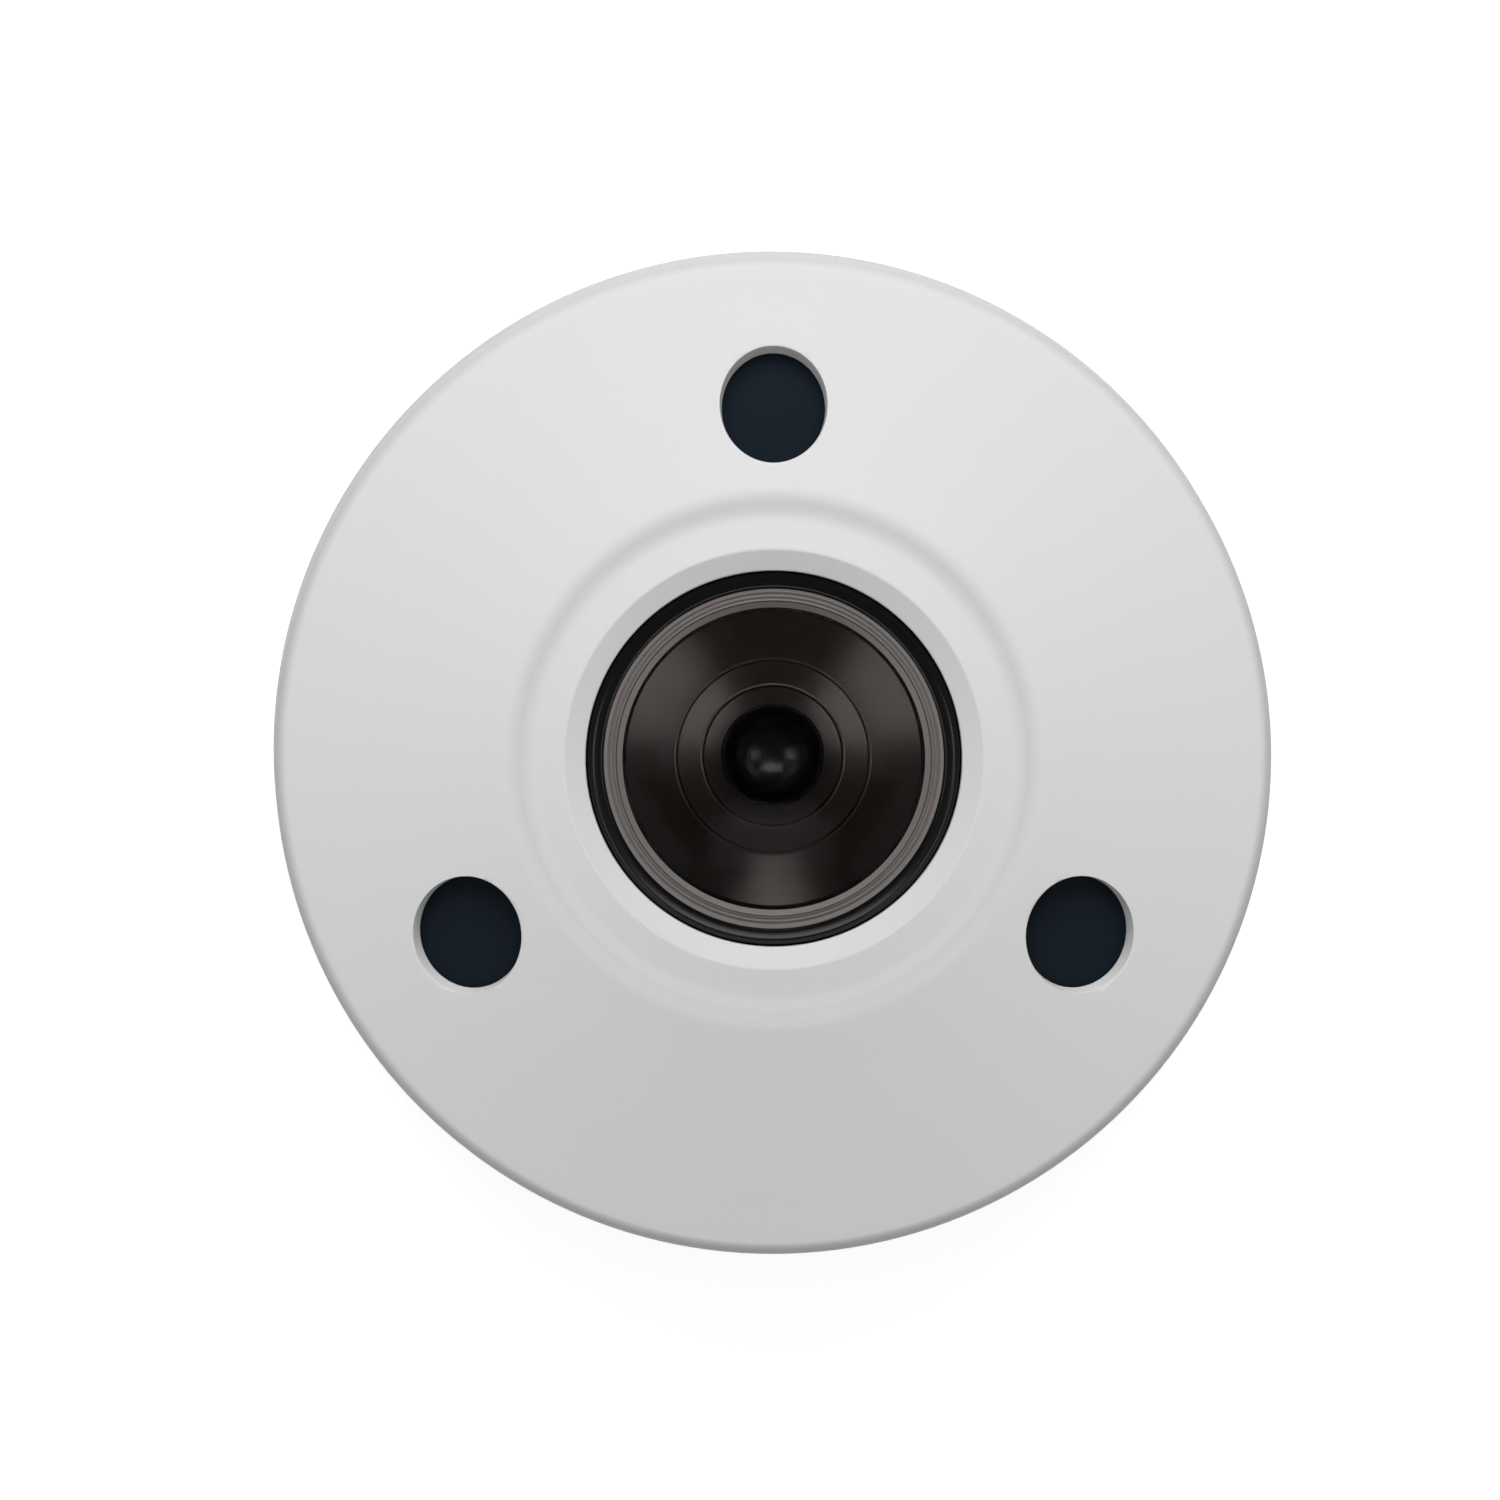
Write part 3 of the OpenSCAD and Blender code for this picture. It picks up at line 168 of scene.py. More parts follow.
def maths(tree, kind, a, b=None, c=None):
    node = tree.nodes.new("ShaderNodeMath")
    node.operation = kind
    for i, value in enumerate((a, b, c)):
        if value is None:
            continue
        if isinstance(value, (int, float)):
            node.inputs[i].default_value = value
        else:
            join(tree, value, node.inputs[i])
    return node.outputs[0]


def noiseAt(tree, where, scale, detail=4.0, rough=0.55):
    node = tree.nodes.new("ShaderNodeTexNoise")
    node.inputs["Detail"].default_value = detail
    node.inputs["Roughness"].default_value = rough
    join(tree, where, node.inputs["Vector"])
    if isinstance(scale, (int, float)):
        node.inputs["Scale"].default_value = scale
    else:
        join(tree, scale, node.inputs["Scale"])
    return node.outputs["Fac"]


def mixColour(tree, share, a, b, kind="MIX"):
    node = tree.nodes.new("ShaderNodeMix")
    node.data_type = "RGBA"
    node.blend_type = kind
    for value, socket in ((share, node.inputs[0]), (a, node.inputs[6]), (b, node.inputs[7])):
        if isinstance(value, (int, float, tuple)):
            socket.default_value = value
        else:
            join(tree, value, socket)
    return node.outputs[2]


def radiusFromAxis(tree):
    parts = tree.nodes.new("ShaderNodeSeparateXYZ")
    join(tree, tree.nodes.new("ShaderNodeTexCoord").outputs["Object"], parts.inputs[0])
    squares = [maths(tree, "POWER", parts.outputs[i], 2.0) for i in range(2)]
    return maths(tree, "SQRT", maths(tree, "ADD", *squares)), parts.outputs[2]


def dimmed(tree, colour, share):
    tone = tree.nodes.new("ShaderNodeCombineColor")
    for i in range(3):
        join(tree, share, tone.inputs[i])
    return mixColour(tree, 1.0, colour, tone.outputs[0], "MULTIPLY")


effectOutputs = [
    ("Color", "NodeSocketColor"), ("Roughness", "NodeSocketFloat"), ("Height", "NodeSocketFloat")]


def makeGrain():
    group, entry, leave = newGroup("fineGrain", [
        ("Color", "NodeSocketColor", (0.5, 0.5, 0.5, 1)), ("Spread", "NodeSocketFloat", 0.04),
        ("Scale", "NodeSocketFloat", 900.0), ("Roughness", "NodeSocketFloat", 0.5),
        ("Roughness Spread", "NodeSocketFloat", 0.08)], effectOutputs)
    place = group.nodes.new("ShaderNodeTexCoord").outputs["Object"]
    fine = noiseAt(group, place, entry.outputs["Scale"], 3.0, 0.6)
    broad = noiseAt(group, place, maths(group, "MULTIPLY", entry.outputs["Scale"], 0.05), 4.0)
    tint = maths(group, "MULTIPLY_ADD", maths(group, "SUBTRACT", broad, 0.5), entry.outputs["Spread"], 1.0)
    join(group, dimmed(group, entry.outputs["Color"], tint), leave.inputs["Color"])
    change = maths(group, "SUBTRACT", maths(group, "ADD", fine, broad), 1.0)
    spread = entry.outputs["Roughness Spread"]
    rough = maths(group, "MULTIPLY_ADD", change, spread, entry.outputs["Roughness"])
    join(group, rough, leave.inputs["Roughness"])
    join(group, fine, leave.inputs["Height"])
    return group


def makeBrushed():
    group, entry, leave = newGroup("turnedMarks", [
        ("Color", "NodeSocketColor", (0.5, 0.5, 0.5, 1)), ("Spread", "NodeSocketFloat", 0.15),
        ("Scale", "NodeSocketFloat", 1500.0), ("Roughness", "NodeSocketFloat", 0.35),
        ("Roughness Spread", "NodeSocketFloat", 0.2)], effectOutputs)
    radius, height = radiusFromAxis(group)
    rings = group.nodes.new("ShaderNodeCombineXYZ")
    join(group, radius, rings.inputs[0])
    join(group, height, rings.inputs[1])
    marks = noiseAt(group, rings.outputs[0], entry.outputs["Scale"], 2.0)
    change = maths(group, "SUBTRACT", marks, 0.5)
    tint = maths(group, "MULTIPLY_ADD", change, entry.outputs["Spread"], 1.0)
    join(group, dimmed(group, entry.outputs["Color"], tint), leave.inputs["Color"])
    spread = entry.outputs["Roughness Spread"]
    rough = maths(group, "MULTIPLY_ADD", change, spread, entry.outputs["Roughness"])
    join(group, rough, leave.inputs["Roughness"])
    join(group, marks, leave.inputs["Height"])
    return group


def makeTracks():
    group, entry, leave = newGroup("boardTracks", [
        ("Mask Color", "NodeSocketColor", (0.03, 0.16, 0.07, 1)),
        ("Track Color", "NodeSocketColor", (0.06, 0.27, 0.11, 1)),
        ("Pad Color", "NodeSocketColor", (0.7, 0.68, 0.62, 1)),
        ("Scale", "NodeSocketFloat", 700.0)], effectOutputs)
    place = group.nodes.new("ShaderNodeTexCoord").outputs["Object"]
    cells = group.nodes.new("ShaderNodeTexVoronoi")
    cells.distance = "CHEBYCHEV"
    join(group, place, cells.inputs["Vector"])
    join(group, maths(group, "MULTIPLY", entry.outputs["Scale"], 0.35), cells.inputs["Scale"])
    lanes = maths(group, "FRACT", maths(group, "MULTIPLY", cells.outputs["Distance"], 4.0))
    track = maths(group, "GREATER_THAN", lanes, 0.55)
    dots = group.nodes.new("ShaderNodeTexVoronoi")
    join(group, place, dots.inputs["Vector"])
    join(group, entry.outputs["Scale"], dots.inputs["Scale"])
    pad = maths(group, "LESS_THAN", dots.outputs["Distance"], 0.16)
    bare = mixColour(group, track, entry.outputs["Mask Color"], entry.outputs["Track Color"])
    join(group, mixColour(group, pad, bare, entry.outputs["Pad Color"]), leave.inputs["Color"])
    join(group, maths(group, "MULTIPLY_ADD", pad, -0.12, 0.38), leave.inputs["Roughness"])
    join(group, maths(group, "ADD", track, pad), leave.inputs["Height"])
    return group


# where the cover's colour is darkened as painted shade, in metres from the axis: round the step's groove,
# towards the outer edge and on the inner bevel
paintedShadeBands = {"groove": 0.0302, "grooveHalf": 0.0018, "edgeStart": 0.0578, "edgeEnd": 0.0594, "bevel": 0.0248}


def makeCoverPaintedShade():
    group, entry, leave = newGroup("coverPaintedShade", [
        ("Color", "NodeSocketColor", (0.6, 0.6, 0.6, 1)), ("Spread", "NodeSocketFloat", 0.02),
        ("Scale", "NodeSocketFloat", 1800.0), ("Roughness", "NodeSocketFloat", 0.42),
        ("Roughness Spread", "NodeSocketFloat", 0.08), ("GrooveShade", "NodeSocketFloat", 0.13),
        ("EdgeShade", "NodeSocketFloat", 0.22), ("Bevel", "NodeSocketFloat", 0.07)], effectOutputs)
    grain = group.nodes.new("ShaderNodeGroup")
    grain.node_tree = grainGroup
    for label in ("Color", "Spread", "Scale", "Roughness", "Roughness Spread"):
        join(group, entry.outputs[label], grain.inputs[label])
    radius = radiusFromAxis(group)[0]
    # painted shade: the base colour is darkened in a band round the groove, towards the outer edge and inside
    # the bevel radius, where the cover lies in shade
    away = maths(group, "ABSOLUTE", maths(group, "SUBTRACT", radius, paintedShadeBands["groove"]))
    fromGroove = maths(group, "DIVIDE", away, paintedShadeBands["grooveHalf"])
    groove = maths(group, "MAXIMUM", maths(group, "SUBTRACT", 1.0, fromGroove), 0.0)
    edge = group.nodes.new("ShaderNodeMapRange")
    edge.interpolation_type = "SMOOTHSTEP"
    edge.inputs["From Min"].default_value = paintedShadeBands["edgeStart"]
    edge.inputs["From Max"].default_value = paintedShadeBands["edgeEnd"]
    join(group, radius, edge.inputs["Value"])
    paintedShade = maths(group, "ADD", maths(group, "MULTIPLY", groove, entry.outputs["GrooveShade"]),
                 maths(group, "MULTIPLY", edge.outputs[0], entry.outputs["EdgeShade"]))
    onBevel = maths(group, "LESS_THAN", radius, paintedShadeBands["bevel"])
    bevel = maths(group, "MULTIPLY", onBevel, entry.outputs["Bevel"])
    keep = maths(group, "SUBTRACT", 1.0, maths(group, "ADD", paintedShade, bevel))
    join(group, dimmed(group, grain.outputs["Color"], keep), leave.inputs["Color"])
    join(group, grain.outputs["Roughness"], leave.inputs["Roughness"])
    join(group, grain.outputs["Height"], leave.inputs["Height"])
    return group


grainGroup = makeGrain()
coverShadeGroup = makeCoverPaintedShade()
marksGroup = makeBrushed()
tracksGroup = makeTracks()


def rgb(*parts):
    return (*parts, 1.0)


reliefDepth = 0.02  # mm


def material(name, group, values, bump=0.1, metallic=0.0, **constants):
    made = bpy.data.materials.new(name)
    made.use_nodes = True
    tree = made.node_tree
    shader = tree.nodes["Principled BSDF"]
    effect = tree.nodes.new("ShaderNodeGroup")
    effect.node_tree = group
    for label, value in values.items():
        effect.inputs[label].default_value = value
    join(tree, effect.outputs["Color"], shader.inputs["Base Color"])
    join(tree, effect.outputs["Roughness"], shader.inputs["Roughness"])
    relief = tree.nodes.new("ShaderNodeBump")
    relief.inputs["Strength"].default_value = bump
    relief.inputs["Distance"].default_value = reliefDepth * mm
    join(tree, effect.outputs["Height"], relief.inputs["Height"])
    join(tree, relief.outputs["Normal"], shader.inputs["Normal"])
    shader.inputs["Metallic"].default_value = metallic
    for label, value in constants.items():
        shader.inputs[label.replace("_", " ")].default_value = value
    return made


def plain(name, colour, roughness, spread=0.05, scale=900.0, bump=0.1, metallic=0.0, group=None, uneven=0.08,
          **constants):
    return material(name, group or grainGroup, {
        "Color": rgb(*colour), "Spread": spread, "Scale": scale, "Roughness": roughness,
        "Roughness Spread": uneven}, bump=bump, metallic=metallic, **constants)


# the cover's colour carries painted shade at the step's groove, the outer edge and the inner bevel
coverWhite = plain("coverWhite", (0.655, 0.655, 0.655), 0.55, spread=0.012, scale=1800, bump=0.05,
                   group=coverShadeGroup,
                   Specular_IOR_Level=0.3)
barrelBlack = plain("barrelBlack", (0.002, 0.002, 0.0024), 0.22, spread=0.2, scale=1600, bump=0.015)
ringBrown = plain("ringBrown", (0.192, 0.174, 0.166), 0.42, spread=0.2, scale=2500, bump=0.1, metallic=0.3,
                  group=marksGroup)
baffleBlack = plain("baffleBlack", (0.0165, 0.009, 0.0066), 0.33, spread=0.3, scale=2200, bump=0.06,
                    group=marksGroup, Specular_IOR_Level=1.0, Specular_Tint=rgb(1.0, 0.91, 0.88))
windowDark = plain("windowDark", (0.0086, 0.0136, 0.0198), 0.5, spread=0.04, scale=1200, bump=0.02,
                   Specular_IOR_Level=0.03)
frontGlass = plain("frontGlass", (0.985, 0.985, 0.985), 0.012, spread=0.01, scale=300, bump=0.0, uneven=0.004,
                   Transmission_Weight=1.0, IOR=1.1)
innerGlass = plain("innerGlass", (0.002, 0.002, 0.0024), 0.26, spread=0.1, scale=300, bump=0.0, uneven=0.01)
filterGlass = plain("filterGlass", (0.35, 0.6, 0.7), 0.05, spread=0.05, scale=400, bump=0.0, uneven=0.01,
                    Transmission_Weight=0.8, IOR=1.5)

nodeLooks = {
    "plate_plastic": plain("platePlastic", (0.62, 0.62, 0.61), 0.5, spread=0.03, scale=1500, bump=0.15),
    "cast_housing": plain("castHousing", (0.12, 0.123, 0.128), 0.6, spread=0.2, scale=1100, bump=0.35),
    "steel": plain("zincSteel", (0.6, 0.61, 0.62), 0.3, spread=0.15, scale=1500, bump=0.1, metallic=1.0),
    "cover_white": coverWhite,
    "seal_rubber": plain("sealRubber", (0.015, 0.015, 0.015), 0.75, spread=0.2, scale=1300, bump=0.2),
    "ir_window": windowDark,
    "board": material("boardGreen", tracksGroup, {"Scale": 700.0}, bump=0.3),
    "diode": plain("diodeDome", (0.6, 0.45, 0.2), 0.2, spread=0.2, scale=2500, bump=0.02),
    "bright_cup": plain("brightCup", (0.8, 0.8, 0.81), 0.12, spread=0.05, scale=2500,
        bump=0.05, metallic=1.0),
    "lens_glass": frontGlass,
    "dark_glass": innerGlass,
    "ring_metal": ringBrown,
    "barrel_black": barrelBlack,
    "baffle_black": baffleBlack,
    "black_plastic": plain("blackPlastic", (0.018, 0.018, 0.02), 0.5, spread=0.2, scale=1400, bump=0.15),
    "carriage_plastic": plain("carriagePlastic", (0.045, 0.045, 0.05), 0.45, spread=0.2, scale=1600,
        bump=0.15),
    "ir_cut_glass": filterGlass,
    "copper_coil": plain("copperCoil", (0.55, 0.24, 0.1), 0.35, spread=0.3, scale=2500,
        bump=0.3, metallic=1.0),
    "chip_black": plain("chipBlack", (0.03, 0.03, 0.033), 0.55, spread=0.2, scale=2600, bump=0.15),
    "ribbon": plain("amberRibbon", (0.5, 0.3, 0.08), 0.35, spread=0.15, scale=1200, bump=0.1),
    "ivory_plastic": plain("ivoryPlastic", (0.72, 0.67, 0.55), 0.45, spread=0.05, scale=1500, bump=0.1),
    "heat_pad": plain("heatPad", (0.25, 0.4, 0.5), 0.8, spread=0.15, scale=1400, bump=0.3),
    "transformer": plain("transformerTape", (0.6, 0.42, 0.08), 0.4, spread=0.2, scale=1500, bump=0.15),
    "can_metal": plain("canMetal", (0.7, 0.71, 0.73), 0.28, spread=0.1, scale=2000, bump=0.08, metallic=1.0),
    "contact_gold": plain("contactGold", (0.8, 0.58, 0.22), 0.25, spread=0.1, scale=2500,
        bump=0.05, metallic=1.0),
    "jack_shell": plain("jackShell", (0.6, 0.61, 0.62), 0.3, spread=0.12, scale=1800, bump=0.1, metallic=1.0),
    "terminal_green": plain("terminalGreen", (0.05, 0.3, 0.14), 0.42, spread=0.1, scale=1600, bump=0.1),
}

for subpart in frame["record"]["subparts"]:
    look = nodeLooks[subpart["material_slot"]]
    for place in frame["nodes"][subpart["node"]].material_slots:
        place.material = look
print("materials on the carried nodes")


# front cover

cover = {
    "rim": 59.95, "foot": 1.0, "shoulder": 59.3, "slope": 15.0, "stepOut": 31.5, "stepOutZ": 37.59,
    "stepIn": 28.8, "stepInZ": 37.471, "crest": 24.9, "crestZ": 38.3, "opening": 22.3, "openingZ": 37.4,
    "neckZ": 34.6, "land": 25.9, "wall": 2.0, "inside": 57.3,
    "faceRings": 16, "faceStart": 2.5, "faceRest": 4.0,
}


def faceZ(r):
    return cover["stepOutZ"] - (r - cover["stepOut"]) * math.tan(math.radians(cover["slope"]))


drop = cover["wall"] / math.cos(math.radians(cover["slope"]))
faceWidth = cover["shoulder"] - cover["stepOut"] - cover["faceRest"]
faceOutline = []
for i in range(cover["faceRings"] - 1):  # many rings keep the flats round the recesses short
    r = cover["shoulder"] - cover["faceStart"] - faceWidth * i / (cover["faceRings"] - 2)
    faceOutline.append((r, faceZ(r)))
coverShell = turned("coverShell", [
    (cover["rim"], cover["foot"]), (cover["shoulder"], faceZ(cover["shoulder"])), *faceOutline,
    (cover["stepOut"], cover["stepOutZ"]), (cover["stepIn"], cover["stepInZ"]),
    (cover["crest"], cover["crestZ"]), (cover["opening"], cover["openingZ"]),
    (cover["opening"], cover["neckZ"]), (cover["land"], cover["neckZ"]),
    (cover["stepOut"], cover["stepOutZ"] - drop), (cover["inside"], faceZ(cover["inside"]) - drop),
    (cover["inside"], cover["foot"])])
coverRounds = [  # radius, height, width and steps of each
    (cover["rim"], cover["foot"], 0.35, 3), (cover["shoulder"], faceZ(cover["shoulder"]), 1.45, 10),
    (cover["stepOut"], cover["stepOutZ"], 0.78, 6), (cover["stepIn"], cover["stepInZ"], 0.64, 6),
    (cover["crest"], cover["crestZ"], 0.2, 4), (cover["opening"], cover["openingZ"], 0.2, 3),
]
for rounding in coverRounds:
    roundRing(coverShell, *rounding)

# recesses of the infrared windows: an oval that flares to the face
recess = {
    "placeR": 42.0, "bossR": 9.2, "bossTop": 1.2, "bossFoot": 4.4, "depth": 2.4,
    "pocketR": 7.15, "pocketFoot": 6.0, "flare": 0.25, "narrow": 0.05, "edge": 0.3, "edgeShare": 0.3,
    "cutFoot": 3.2, "cutTop": 3.0,
    "windowR": 7.1, "windowZ": 2.7, "windowT": 1.5, "sealGap": 0.01,
}
windowPlaces = {
    "windowTop": {"angle": 90, "across": 12.2, "along": 13.6, "node": "ir_window_top"},
    "windowLeft": {"angle": 210, "across": 12.6, "along": 13.5, "node": "ir_window_left"},
    "windowRight": {"angle": 330, "across": 12.6, "along": 13.5, "node": "ir_window_right"},
}


def windowMatrix(angle):
    a = math.radians(angle)
    radial = Vector((math.cos(a), math.sin(a), 0))
    lean = Matrix.Rotation(math.radians(cover["slope"]), 4, Vector((-math.sin(a), math.cos(a), 0)))
    height = Vector((0, 0, faceZ(recess["placeR"]) * mm))
    return Matrix.Translation(radial * recess["placeR"] * mm + height) @ lean


def placeAtWindow(piece, angle):
    piece.matrix_world = windowMatrix(angle)
    deselectAll()
    piece.select_set(True)
    bpy.context.view_layer.objects.active = piece
    bpy.ops.object.transform_apply(location=True, rotation=True, scale=True)


sealRings = []
for name, at in windowPlaces.items():
    bossR, pocketR, depth = recess["bossR"], recess["pocketR"], recess["depth"]
    boss = turned(name + "Boss", [
        (axisR, -recess["bossTop"]), (bossR, -recess["bossTop"]), (bossR, -recess["bossFoot"]),
        (axisR, -recess["bossFoot"])], closed=False, steps=toolSteps)
    placeAtWindow(boss, at["angle"])
    cutWith(coverShell, boss, "UNION")
    pocket = turned(name + "Pocket", [
        (axisR, -depth), (pocketR, -depth), (pocketR, -recess["pocketFoot"]), (axisR, -recess["pocketFoot"])],
        closed=False, steps=toolSteps)
    placeAtWindow(pocket, at["angle"])
    cutWith(coverShell, pocket)
    # no ring of the tool lies in the pocket's plane: the cut would leave open edges
    inR, outR, edge = at["across"] / 2 - recess["narrow"], at["across"] / 2 + recess["flare"], recess["edge"]
    tool = turned(name + "Tool", [
        (axisR, -recess["cutFoot"]), (inR, -recess["cutFoot"]), (outR, -edge),
        (outR + edge * recess["edgeShare"], -edge * recess["edgeShare"]), (outR + edge, 0.0),
        (outR + edge, recess["cutTop"]), (axisR, recess["cutTop"])], closed=False, steps=toolSteps)
    bpy.ops.object.mode_set(mode="EDIT")
    bpy.ops.mesh.select_all(action="SELECT")
    bpy.ops.transform.resize(value=(1, at["along"] / at["across"], 1), center_override=(0, 0, 0))
    bpy.ops.object.mode_set(mode="OBJECT")
    placeAtWindow(tool, at["angle"])
    # the rubber ring under the ledge is cut by the same oval, so it stays flush with the recess
    sealTop, sealFoot = -depth - recess["sealGap"], recess["sealGap"] - recess["windowZ"]
    sealRing = turned(name + "Seal", [
        (axisR, sealTop), (recess["windowR"], sealTop), (recess["windowR"], sealFoot), (axisR, sealFoot)],
        closed=False, steps=toolSteps)
    placeAtWindow(sealRing, at["angle"])
    sealTool = tool.copy()
    sealTool.data = tool.data.copy()
    bpy.context.collection.objects.link(sealTool)
    cutWith(sealRing, sealTool)
    sealRings.append(sealRing)
    cutWith(coverShell, tool)
deselectAll()
for ring in sealRings:
    ring.select_set(True)
bpy.context.view_layer.objects.active = sealRings[0]
bpy.ops.object.join()
sealRings[0].name = "windowSealRings"
smooth(sealRings[0], 30)
finished(sealRings[0], nodeLooks["seal_rubber"], "seal_rubber", "window_seals")
smooth(coverShell, 30)
settle = coverShell.modifiers.new("settle", "WEIGHTED_NORMAL")
settle.weight = 60
settle.keep_sharp = True
bpy.ops.object.modifier_apply(modifier=settle.name)
finished(coverShell, coverWhite, "cover_white", "front_cover")
print("cover shell with its recesses")

# one dark window, modelled once and copied
windowFoot = recess["windowZ"] + recess["windowT"]
windowBlank = turned("windowBlank", [
    (axisR, -recess["windowZ"]), (recess["windowR"], -recess["windowZ"]), (recess["windowR"], -windowFoot),
    (axisR, -windowFoot)], closed=False, steps=toolSteps)
roundRing(windowBlank, recess["windowR"], -recess["windowZ"], 0.15, 2)
for name, at in windowPlaces.items():
    window = windowBlank.copy()
    window.data = windowBlank.data.copy()
    window.name = name
    bpy.context.collection.objects.link(window)
    placeAtWindow(window, at["angle"])
    smooth(window)
    finished(window, windowDark, "ir_window", at["node"])
bpy.data.objects.remove(windowBlank, do_unlink=True)
print("dark windows")


# lens

lens = {
    "rim": 22.05, "rimZ": 36.93, "lip": 37.2, "bore": 20.2, "ringFoot": 36.15, "free": 18.7,
    "glassR": 19.3, "crown": 41.2, "sphere": 36.22, "glassFoot": 35.5, "seat": 34.18, "seatR": 17.5,
    "glassThick": 1.9, "hollowEdge": 18.9,
}
# radius and height of each corner, up the outside and down the bore
lensMount = turned("lensMount", [
    (9.5, 15.3), (9.5, 22.45), (13.0, 22.45), (13.0, 24.85), (19.45, 31.9), (25.65, 31.9), (25.65, 33.4),
    (lens["rim"], 33.4), (lens["rim"], lens["rimZ"]), (lens["bore"], lens["lip"]), (lens["bore"], 35.63),
    (19.35, 35.63), (19.0, 35.35), (lens["seatR"], lens["seat"]), (9.05, 25.65), (9.05, 24.85),
    (5.9, 24.85), (5.9, 23.65), (7.55, 23.65), (7.55, 15.3)])
roundRing(lensMount, lens["rim"], lens["rimZ"], 0.8, 8)
roundRing(lensMount, lens["bore"], lens["lip"], 0.45, 6)
smooth(lensMount)
finished(lensMount, barrelBlack, "barrel_black", "lens_barrel")

ridge = {
    "outer": 20.15, "count": 3, "start": 18.62, "pitch": 0.5, "crest": 0.16, "top": 36.98, "rise": -0.07,
    "groove": 0.3, "grooveIn": 0.04, "grooveOut": 0.06, "lip": 17.95, "lipFoot": 36.5, "lipTop": 36.56,
    "round": 0.06,
}
ridgeOutline = [
    (ridge["outer"], lens["ringFoot"]), (lens["free"], lens["ringFoot"]), (ridge["lip"], ridge["lipFoot"]),
    (ridge["lip"], ridge["lipTop"]), (ridge["start"], ridge["top"]),
    (ridge["start"] + ridge["grooveIn"], ridge["top"] - ridge["groove"])]
for i in range(ridge["count"]):
    r, z = ridge["start"] + ridge["pitch"] * i, ridge["top"] + ridge["rise"] * i
    ridgeOutline += [(r + ridge["crest"], z), (r + ridge["pitch"] - ridge["grooveOut"], z - ridge["groove"])]
ridgeOutline[-1] = (ridge["outer"], ridgeOutline[-2][1])
ridgedRing = turned("ridgedRing", ridgeOutline)
for r, z in ridgeOutline[6:-1:2]:
    roundRing(ridgedRing, r, z, ridge["round"], 3)
smooth(ridgedRing, 50)
finished(ridgedRing, ringBrown, "ring_metal", "glass_ring")
print("lens mount and ridged ring")

hollowTop = lens["crown"] - lens["glassThick"]
hollowRise = hollowTop - lens["glassFoot"]  # the edge stops above the sloped ledge
hollowR = (lens["hollowEdge"] ** 2 + hollowRise ** 2) / (2 * hollowRise)
domeOutline = arcOfSphere(lens["sphere"], lens["crown"], 0.3, lens["glassR"], 40)
domeOutline += [(lens["glassR"], lens["glassFoot"])]
domeOutline += arcOfSphere(hollowR, hollowTop, lens["hollowEdge"], 0.3, 36)
frontDome = turned("frontDome", domeOutline, closed=False)
smooth(frontDome)
finished(frontDome, frontGlass, "lens_glass", "front_glass")

baffle = {"top": (17.45, 34.18), "steep": 0.782, "bend": 11.4, "flat": 0.66, "rings": (11.4, 8.3),
          "bead": 0.24, "crest": 0.1, "step": 0.13, "round": 0.09, "throat": 5.9, "throatRound": 0.3}


def coneZ(r):
    outside, inside = baffle["top"][0] - max(r, baffle["bend"]), max(baffle["bend"] - r, 0)
    return baffle["top"][1] - outside * baffle["steep"] - inside * baffle["flat"]


coneOutline = [baffle["top"]]
for r in baffle["rings"]:
    coneOutline += [(r + baffle["bead"], coneZ(r + baffle["bead"])), (r, coneZ(r) + baffle["crest"]),
                    (r - baffle["bead"], coneZ(r - baffle["bead"]) - baffle["step"])]
baffleCone = turned("baffleCone", coneOutline + [
    (baffle["throat"], coneZ(baffle["throat"])), (baffle["throat"], 24.85), (9.0, 24.85), (9.0, 25.65)])
for r in baffle["rings"]:
    roundRing(baffleCone, r, coneZ(r) + baffle["crest"], baffle["round"], 3)
roundRing(baffleCone, baffle["throat"], coneZ(baffle["throat"]), baffle["throatRound"], 4)
smooth(baffleCone, 12)
finished(baffleCone, baffleBlack, "baffle_black", "lens_baffle")

second = {"sphere": 6.77, "crown": 26.65, "tip": 0.15, "edge": 5.62, "rim": 7.5, "rimTop": 23.65,
          "foot": 21.31}
innerOutline = arcOfSphere(second["sphere"], second["crown"], second["tip"], second["edge"], 24)
innerOutline += [(second["rim"], second["rimTop"]), (second["rim"], second["foot"]), (axisR, second["foot"])]
innerLens = turned("innerLens", innerOutline, closed=False)
smooth(innerLens)
finished(innerLens, innerGlass, "dark_glass", "second_lens")
print("glass, cone and inner lens")


# floor, lights, camera

stage = {"size": 16.0, "drop": -0.0006, "glow": 0.78, "lit": 0.8, "seen": 0.5, "roughness": 0.9}
deselectAll()
bpy.ops.mesh.primitive_plane_add(size=stage["size"], location=(0, 0, stage["drop"]))
floor = bpy.context.object
floor.name = "floor"
floorLook = bpy.data.materials.new("floorPale")
floorLook.use_nodes = True
tree = floorLook.node_tree
shader = tree.nodes["Principled BSDF"]
shader.inputs["Roughness"].default_value = stage["roughness"]
shader.inputs["Emission Color"].default_value = (1, 1, 1, 1)
path = tree.nodes.new("ShaderNodeLightPath")
seen = maths(tree, "MAXIMUM", path.outputs["Is Camera Ray"],
             maths(tree, "MAXIMUM", path.outputs["Is Glossy Ray"], path.outputs["Is Transmission Ray"]))
join(tree, maths(tree, "MULTIPLY", seen, stage["glow"]), shader.inputs["Emission Strength"])
floorTones = [rgb(tone, tone, tone) for tone in (stage["lit"], stage["seen"])]
join(tree, mixColour(tree, seen, *floorTones), shader.inputs["Base Color"])
floor.data.materials.append(floorLook)

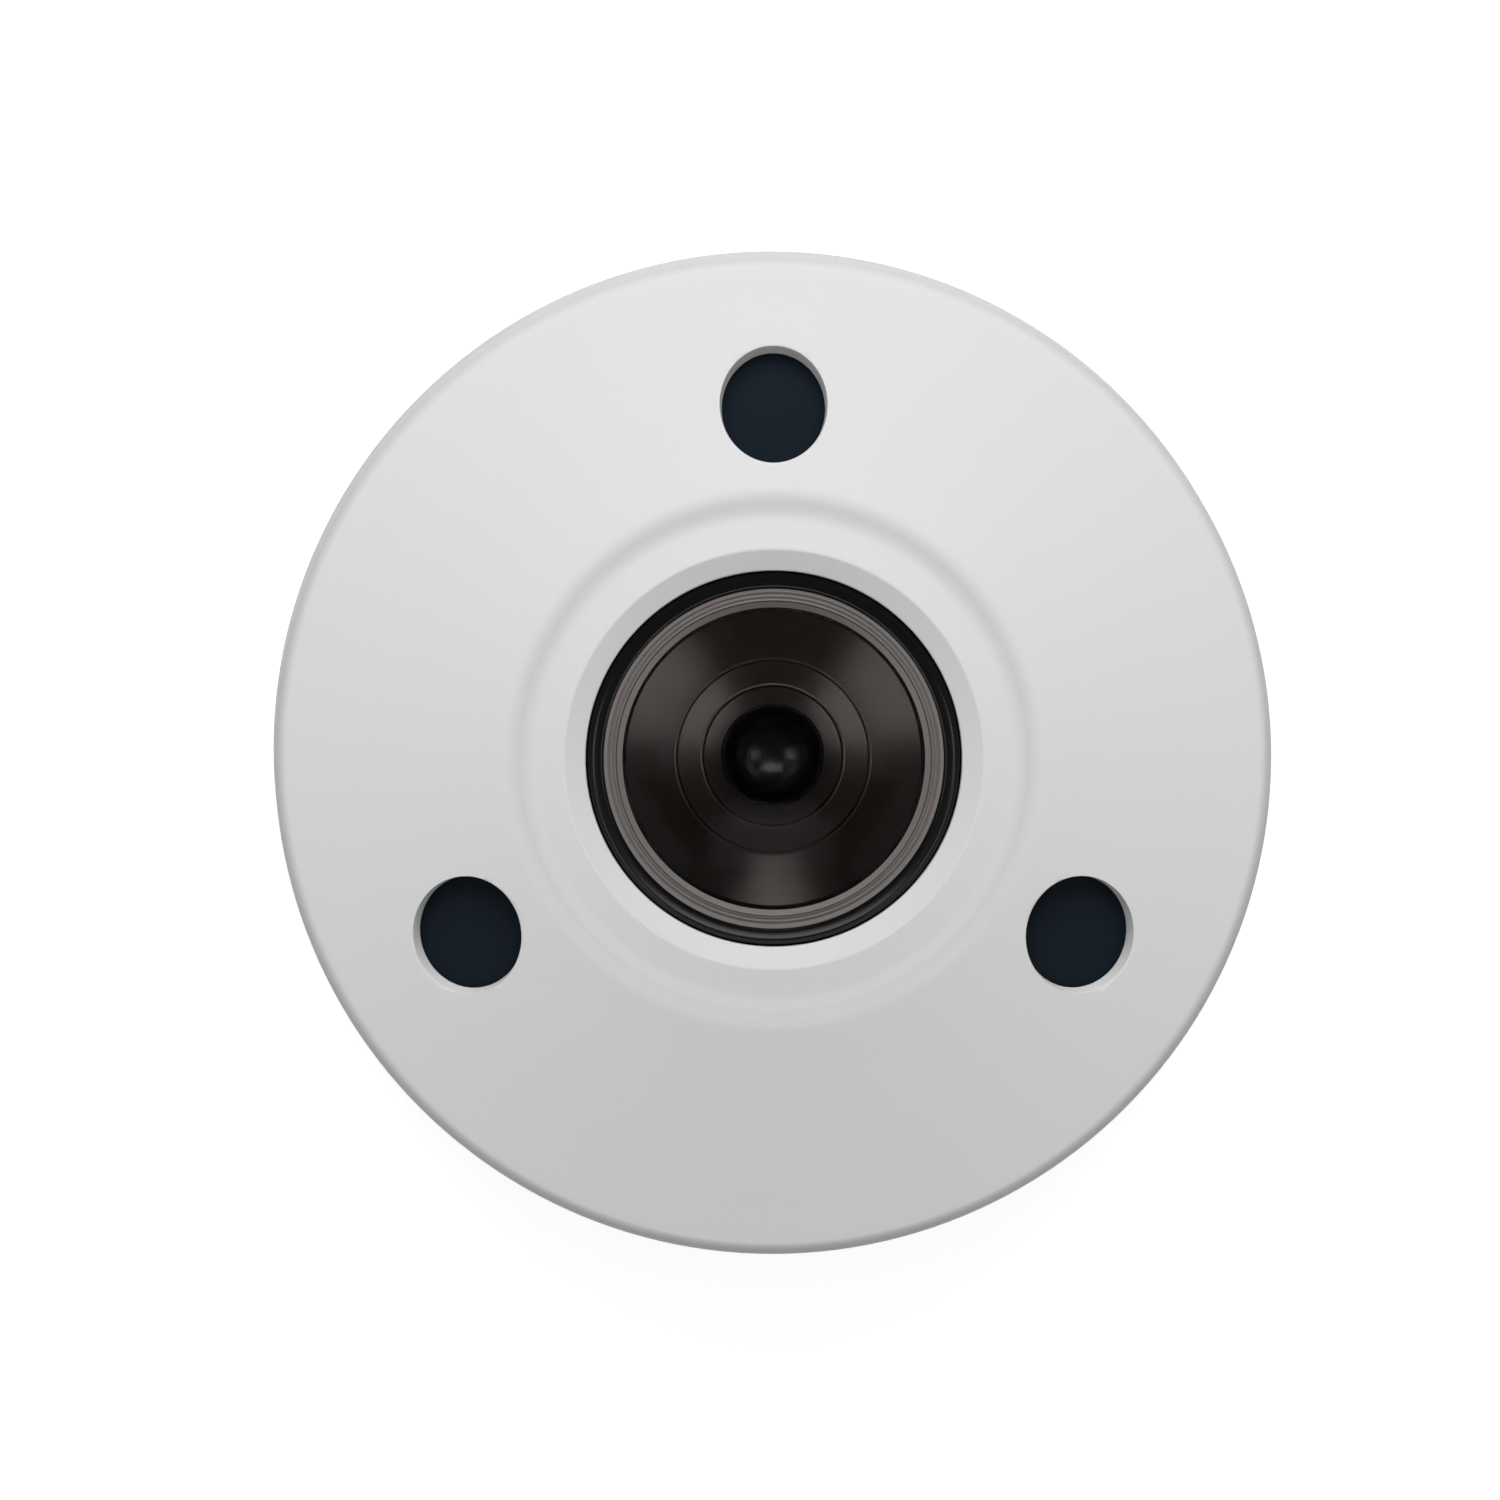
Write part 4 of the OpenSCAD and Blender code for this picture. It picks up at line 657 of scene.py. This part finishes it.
world = bpy.data.worlds.new("softRoom")
bpy.context.scene.world = world
world.use_nodes = True
room = {"From Min": 0.1, "From Max": 0.9, "To Min": 0.12, "To Max": 0.61}  # strength by height
inGloss = 0.1  # black parts, also those behind the glass, reflect a dark room
tree = world.node_tree
heights = tree.nodes.new("ShaderNodeSeparateXYZ")
join(tree, tree.nodes.new("ShaderNodeTexCoord").outputs["Generated"], heights.inputs[0])
fade = tree.nodes.new("ShaderNodeMapRange")
fade.interpolation_type = "SMOOTHSTEP"
for label, value in room.items():
    fade.inputs[label].default_value = value
join(tree, heights.outputs[2], fade.inputs["Value"])
path = tree.nodes.new("ShaderNodeLightPath")
gloss = maths(tree, "MAXIMUM", path.outputs["Is Glossy Ray"], path.outputs["Is Transmission Ray"])
keep = maths(tree, "MULTIPLY_ADD", gloss, inGloss - 1.0, 1.0)
join(tree, maths(tree, "MULTIPLY", fade.outputs[0], keep), tree.nodes["Background"].inputs["Strength"])
tree.nodes["Background"].inputs["Color"].default_value = (1, 1, 1, 1)

lamps = {  # degrees, metres and watts
    "topBox": {"turn": 90, "lean": 47, "size": (1.5, 1.0), "away": 1.3, "power": 17.4, "card": False},
    "leftBox": {"turn": 213, "lean": 66, "size": (0.7, 0.6), "away": 1.0, "power": 1.8, "card": True},
    "rightBox": {"turn": 327, "lean": 66, "size": (0.7, 0.6), "away": 1.0, "power": 1.8, "card": True},
    "highCard": {"turn": 90, "lean": 76, "size": (0.4, 0.2), "away": 1.0, "power": 0.7, "card": True},
    "lowCard": {"turn": 270, "lean": 25, "size": (0.6, 0.25), "away": 1.0, "power": 1.15, "card": True},
    "leftCard": {"turn": 180, "lean": 36, "size": (0.25, 0.3), "away": 1.0, "power": 0.4, "card": True},
    "rightCard": {"turn": 0, "lean": 36, "size": (0.25, 0.3), "away": 1.0, "power": 0.4, "card": True},
}
for name, lamp in lamps.items():
    data = bpy.data.lights.new(name, "AREA")
    data.shape = "RECTANGLE"
    data.size, data.size_y = lamp["size"]
    data.energy = lamp["power"]
    light = bpy.data.objects.new(name, data)
    bpy.context.collection.objects.link(light)
    turn, lean = math.radians(lamp["turn"]), math.radians(lamp["lean"])
    way = Vector((math.cos(turn) * math.sin(lean), math.sin(turn) * math.sin(lean), math.cos(lean)))
    light.location = way * lamp["away"] + Vector((0, 0, 0.03))
    light.rotation_mode = "QUATERNION"
    light.rotation_quaternion = way.to_track_quat("Z", "Y")
    light.visible_diffuse = not lamp["card"]  # cards only show as reflections, the box only lights
    light.visible_glossy = light.visible_transmission = lamp["card"]

view = {"away": 2.0, "side": -0.0228446, "up": 0.0699313, "lookX": 0.0102, "lookY": -0.0351, "focal": 397.8}
cameraData = bpy.data.cameras.new("camera")
cameraData.lens = view["focal"]
cameraData.sensor_width = 36
cameraData.clip_start = 0.1
cameraData.clip_end = 50
camera = bpy.data.objects.new("camera", cameraData)
bpy.context.collection.objects.link(camera)
camera.location = (view["side"], view["up"], view["away"])
look = Vector((math.sin(view["lookX"]), math.sin(view["lookY"]), -1)).normalized()
right = look.cross(Vector((0, 1, 0))).normalized()
camera.rotation_mode = "QUATERNION"
camera.rotation_quaternion = Matrix((right, right.cross(look), -look)).transposed().to_quaternion()
bpy.context.scene.camera = camera
bpy.context.scene.view_settings.view_transform = "Standard"
print("floor, lights and camera")
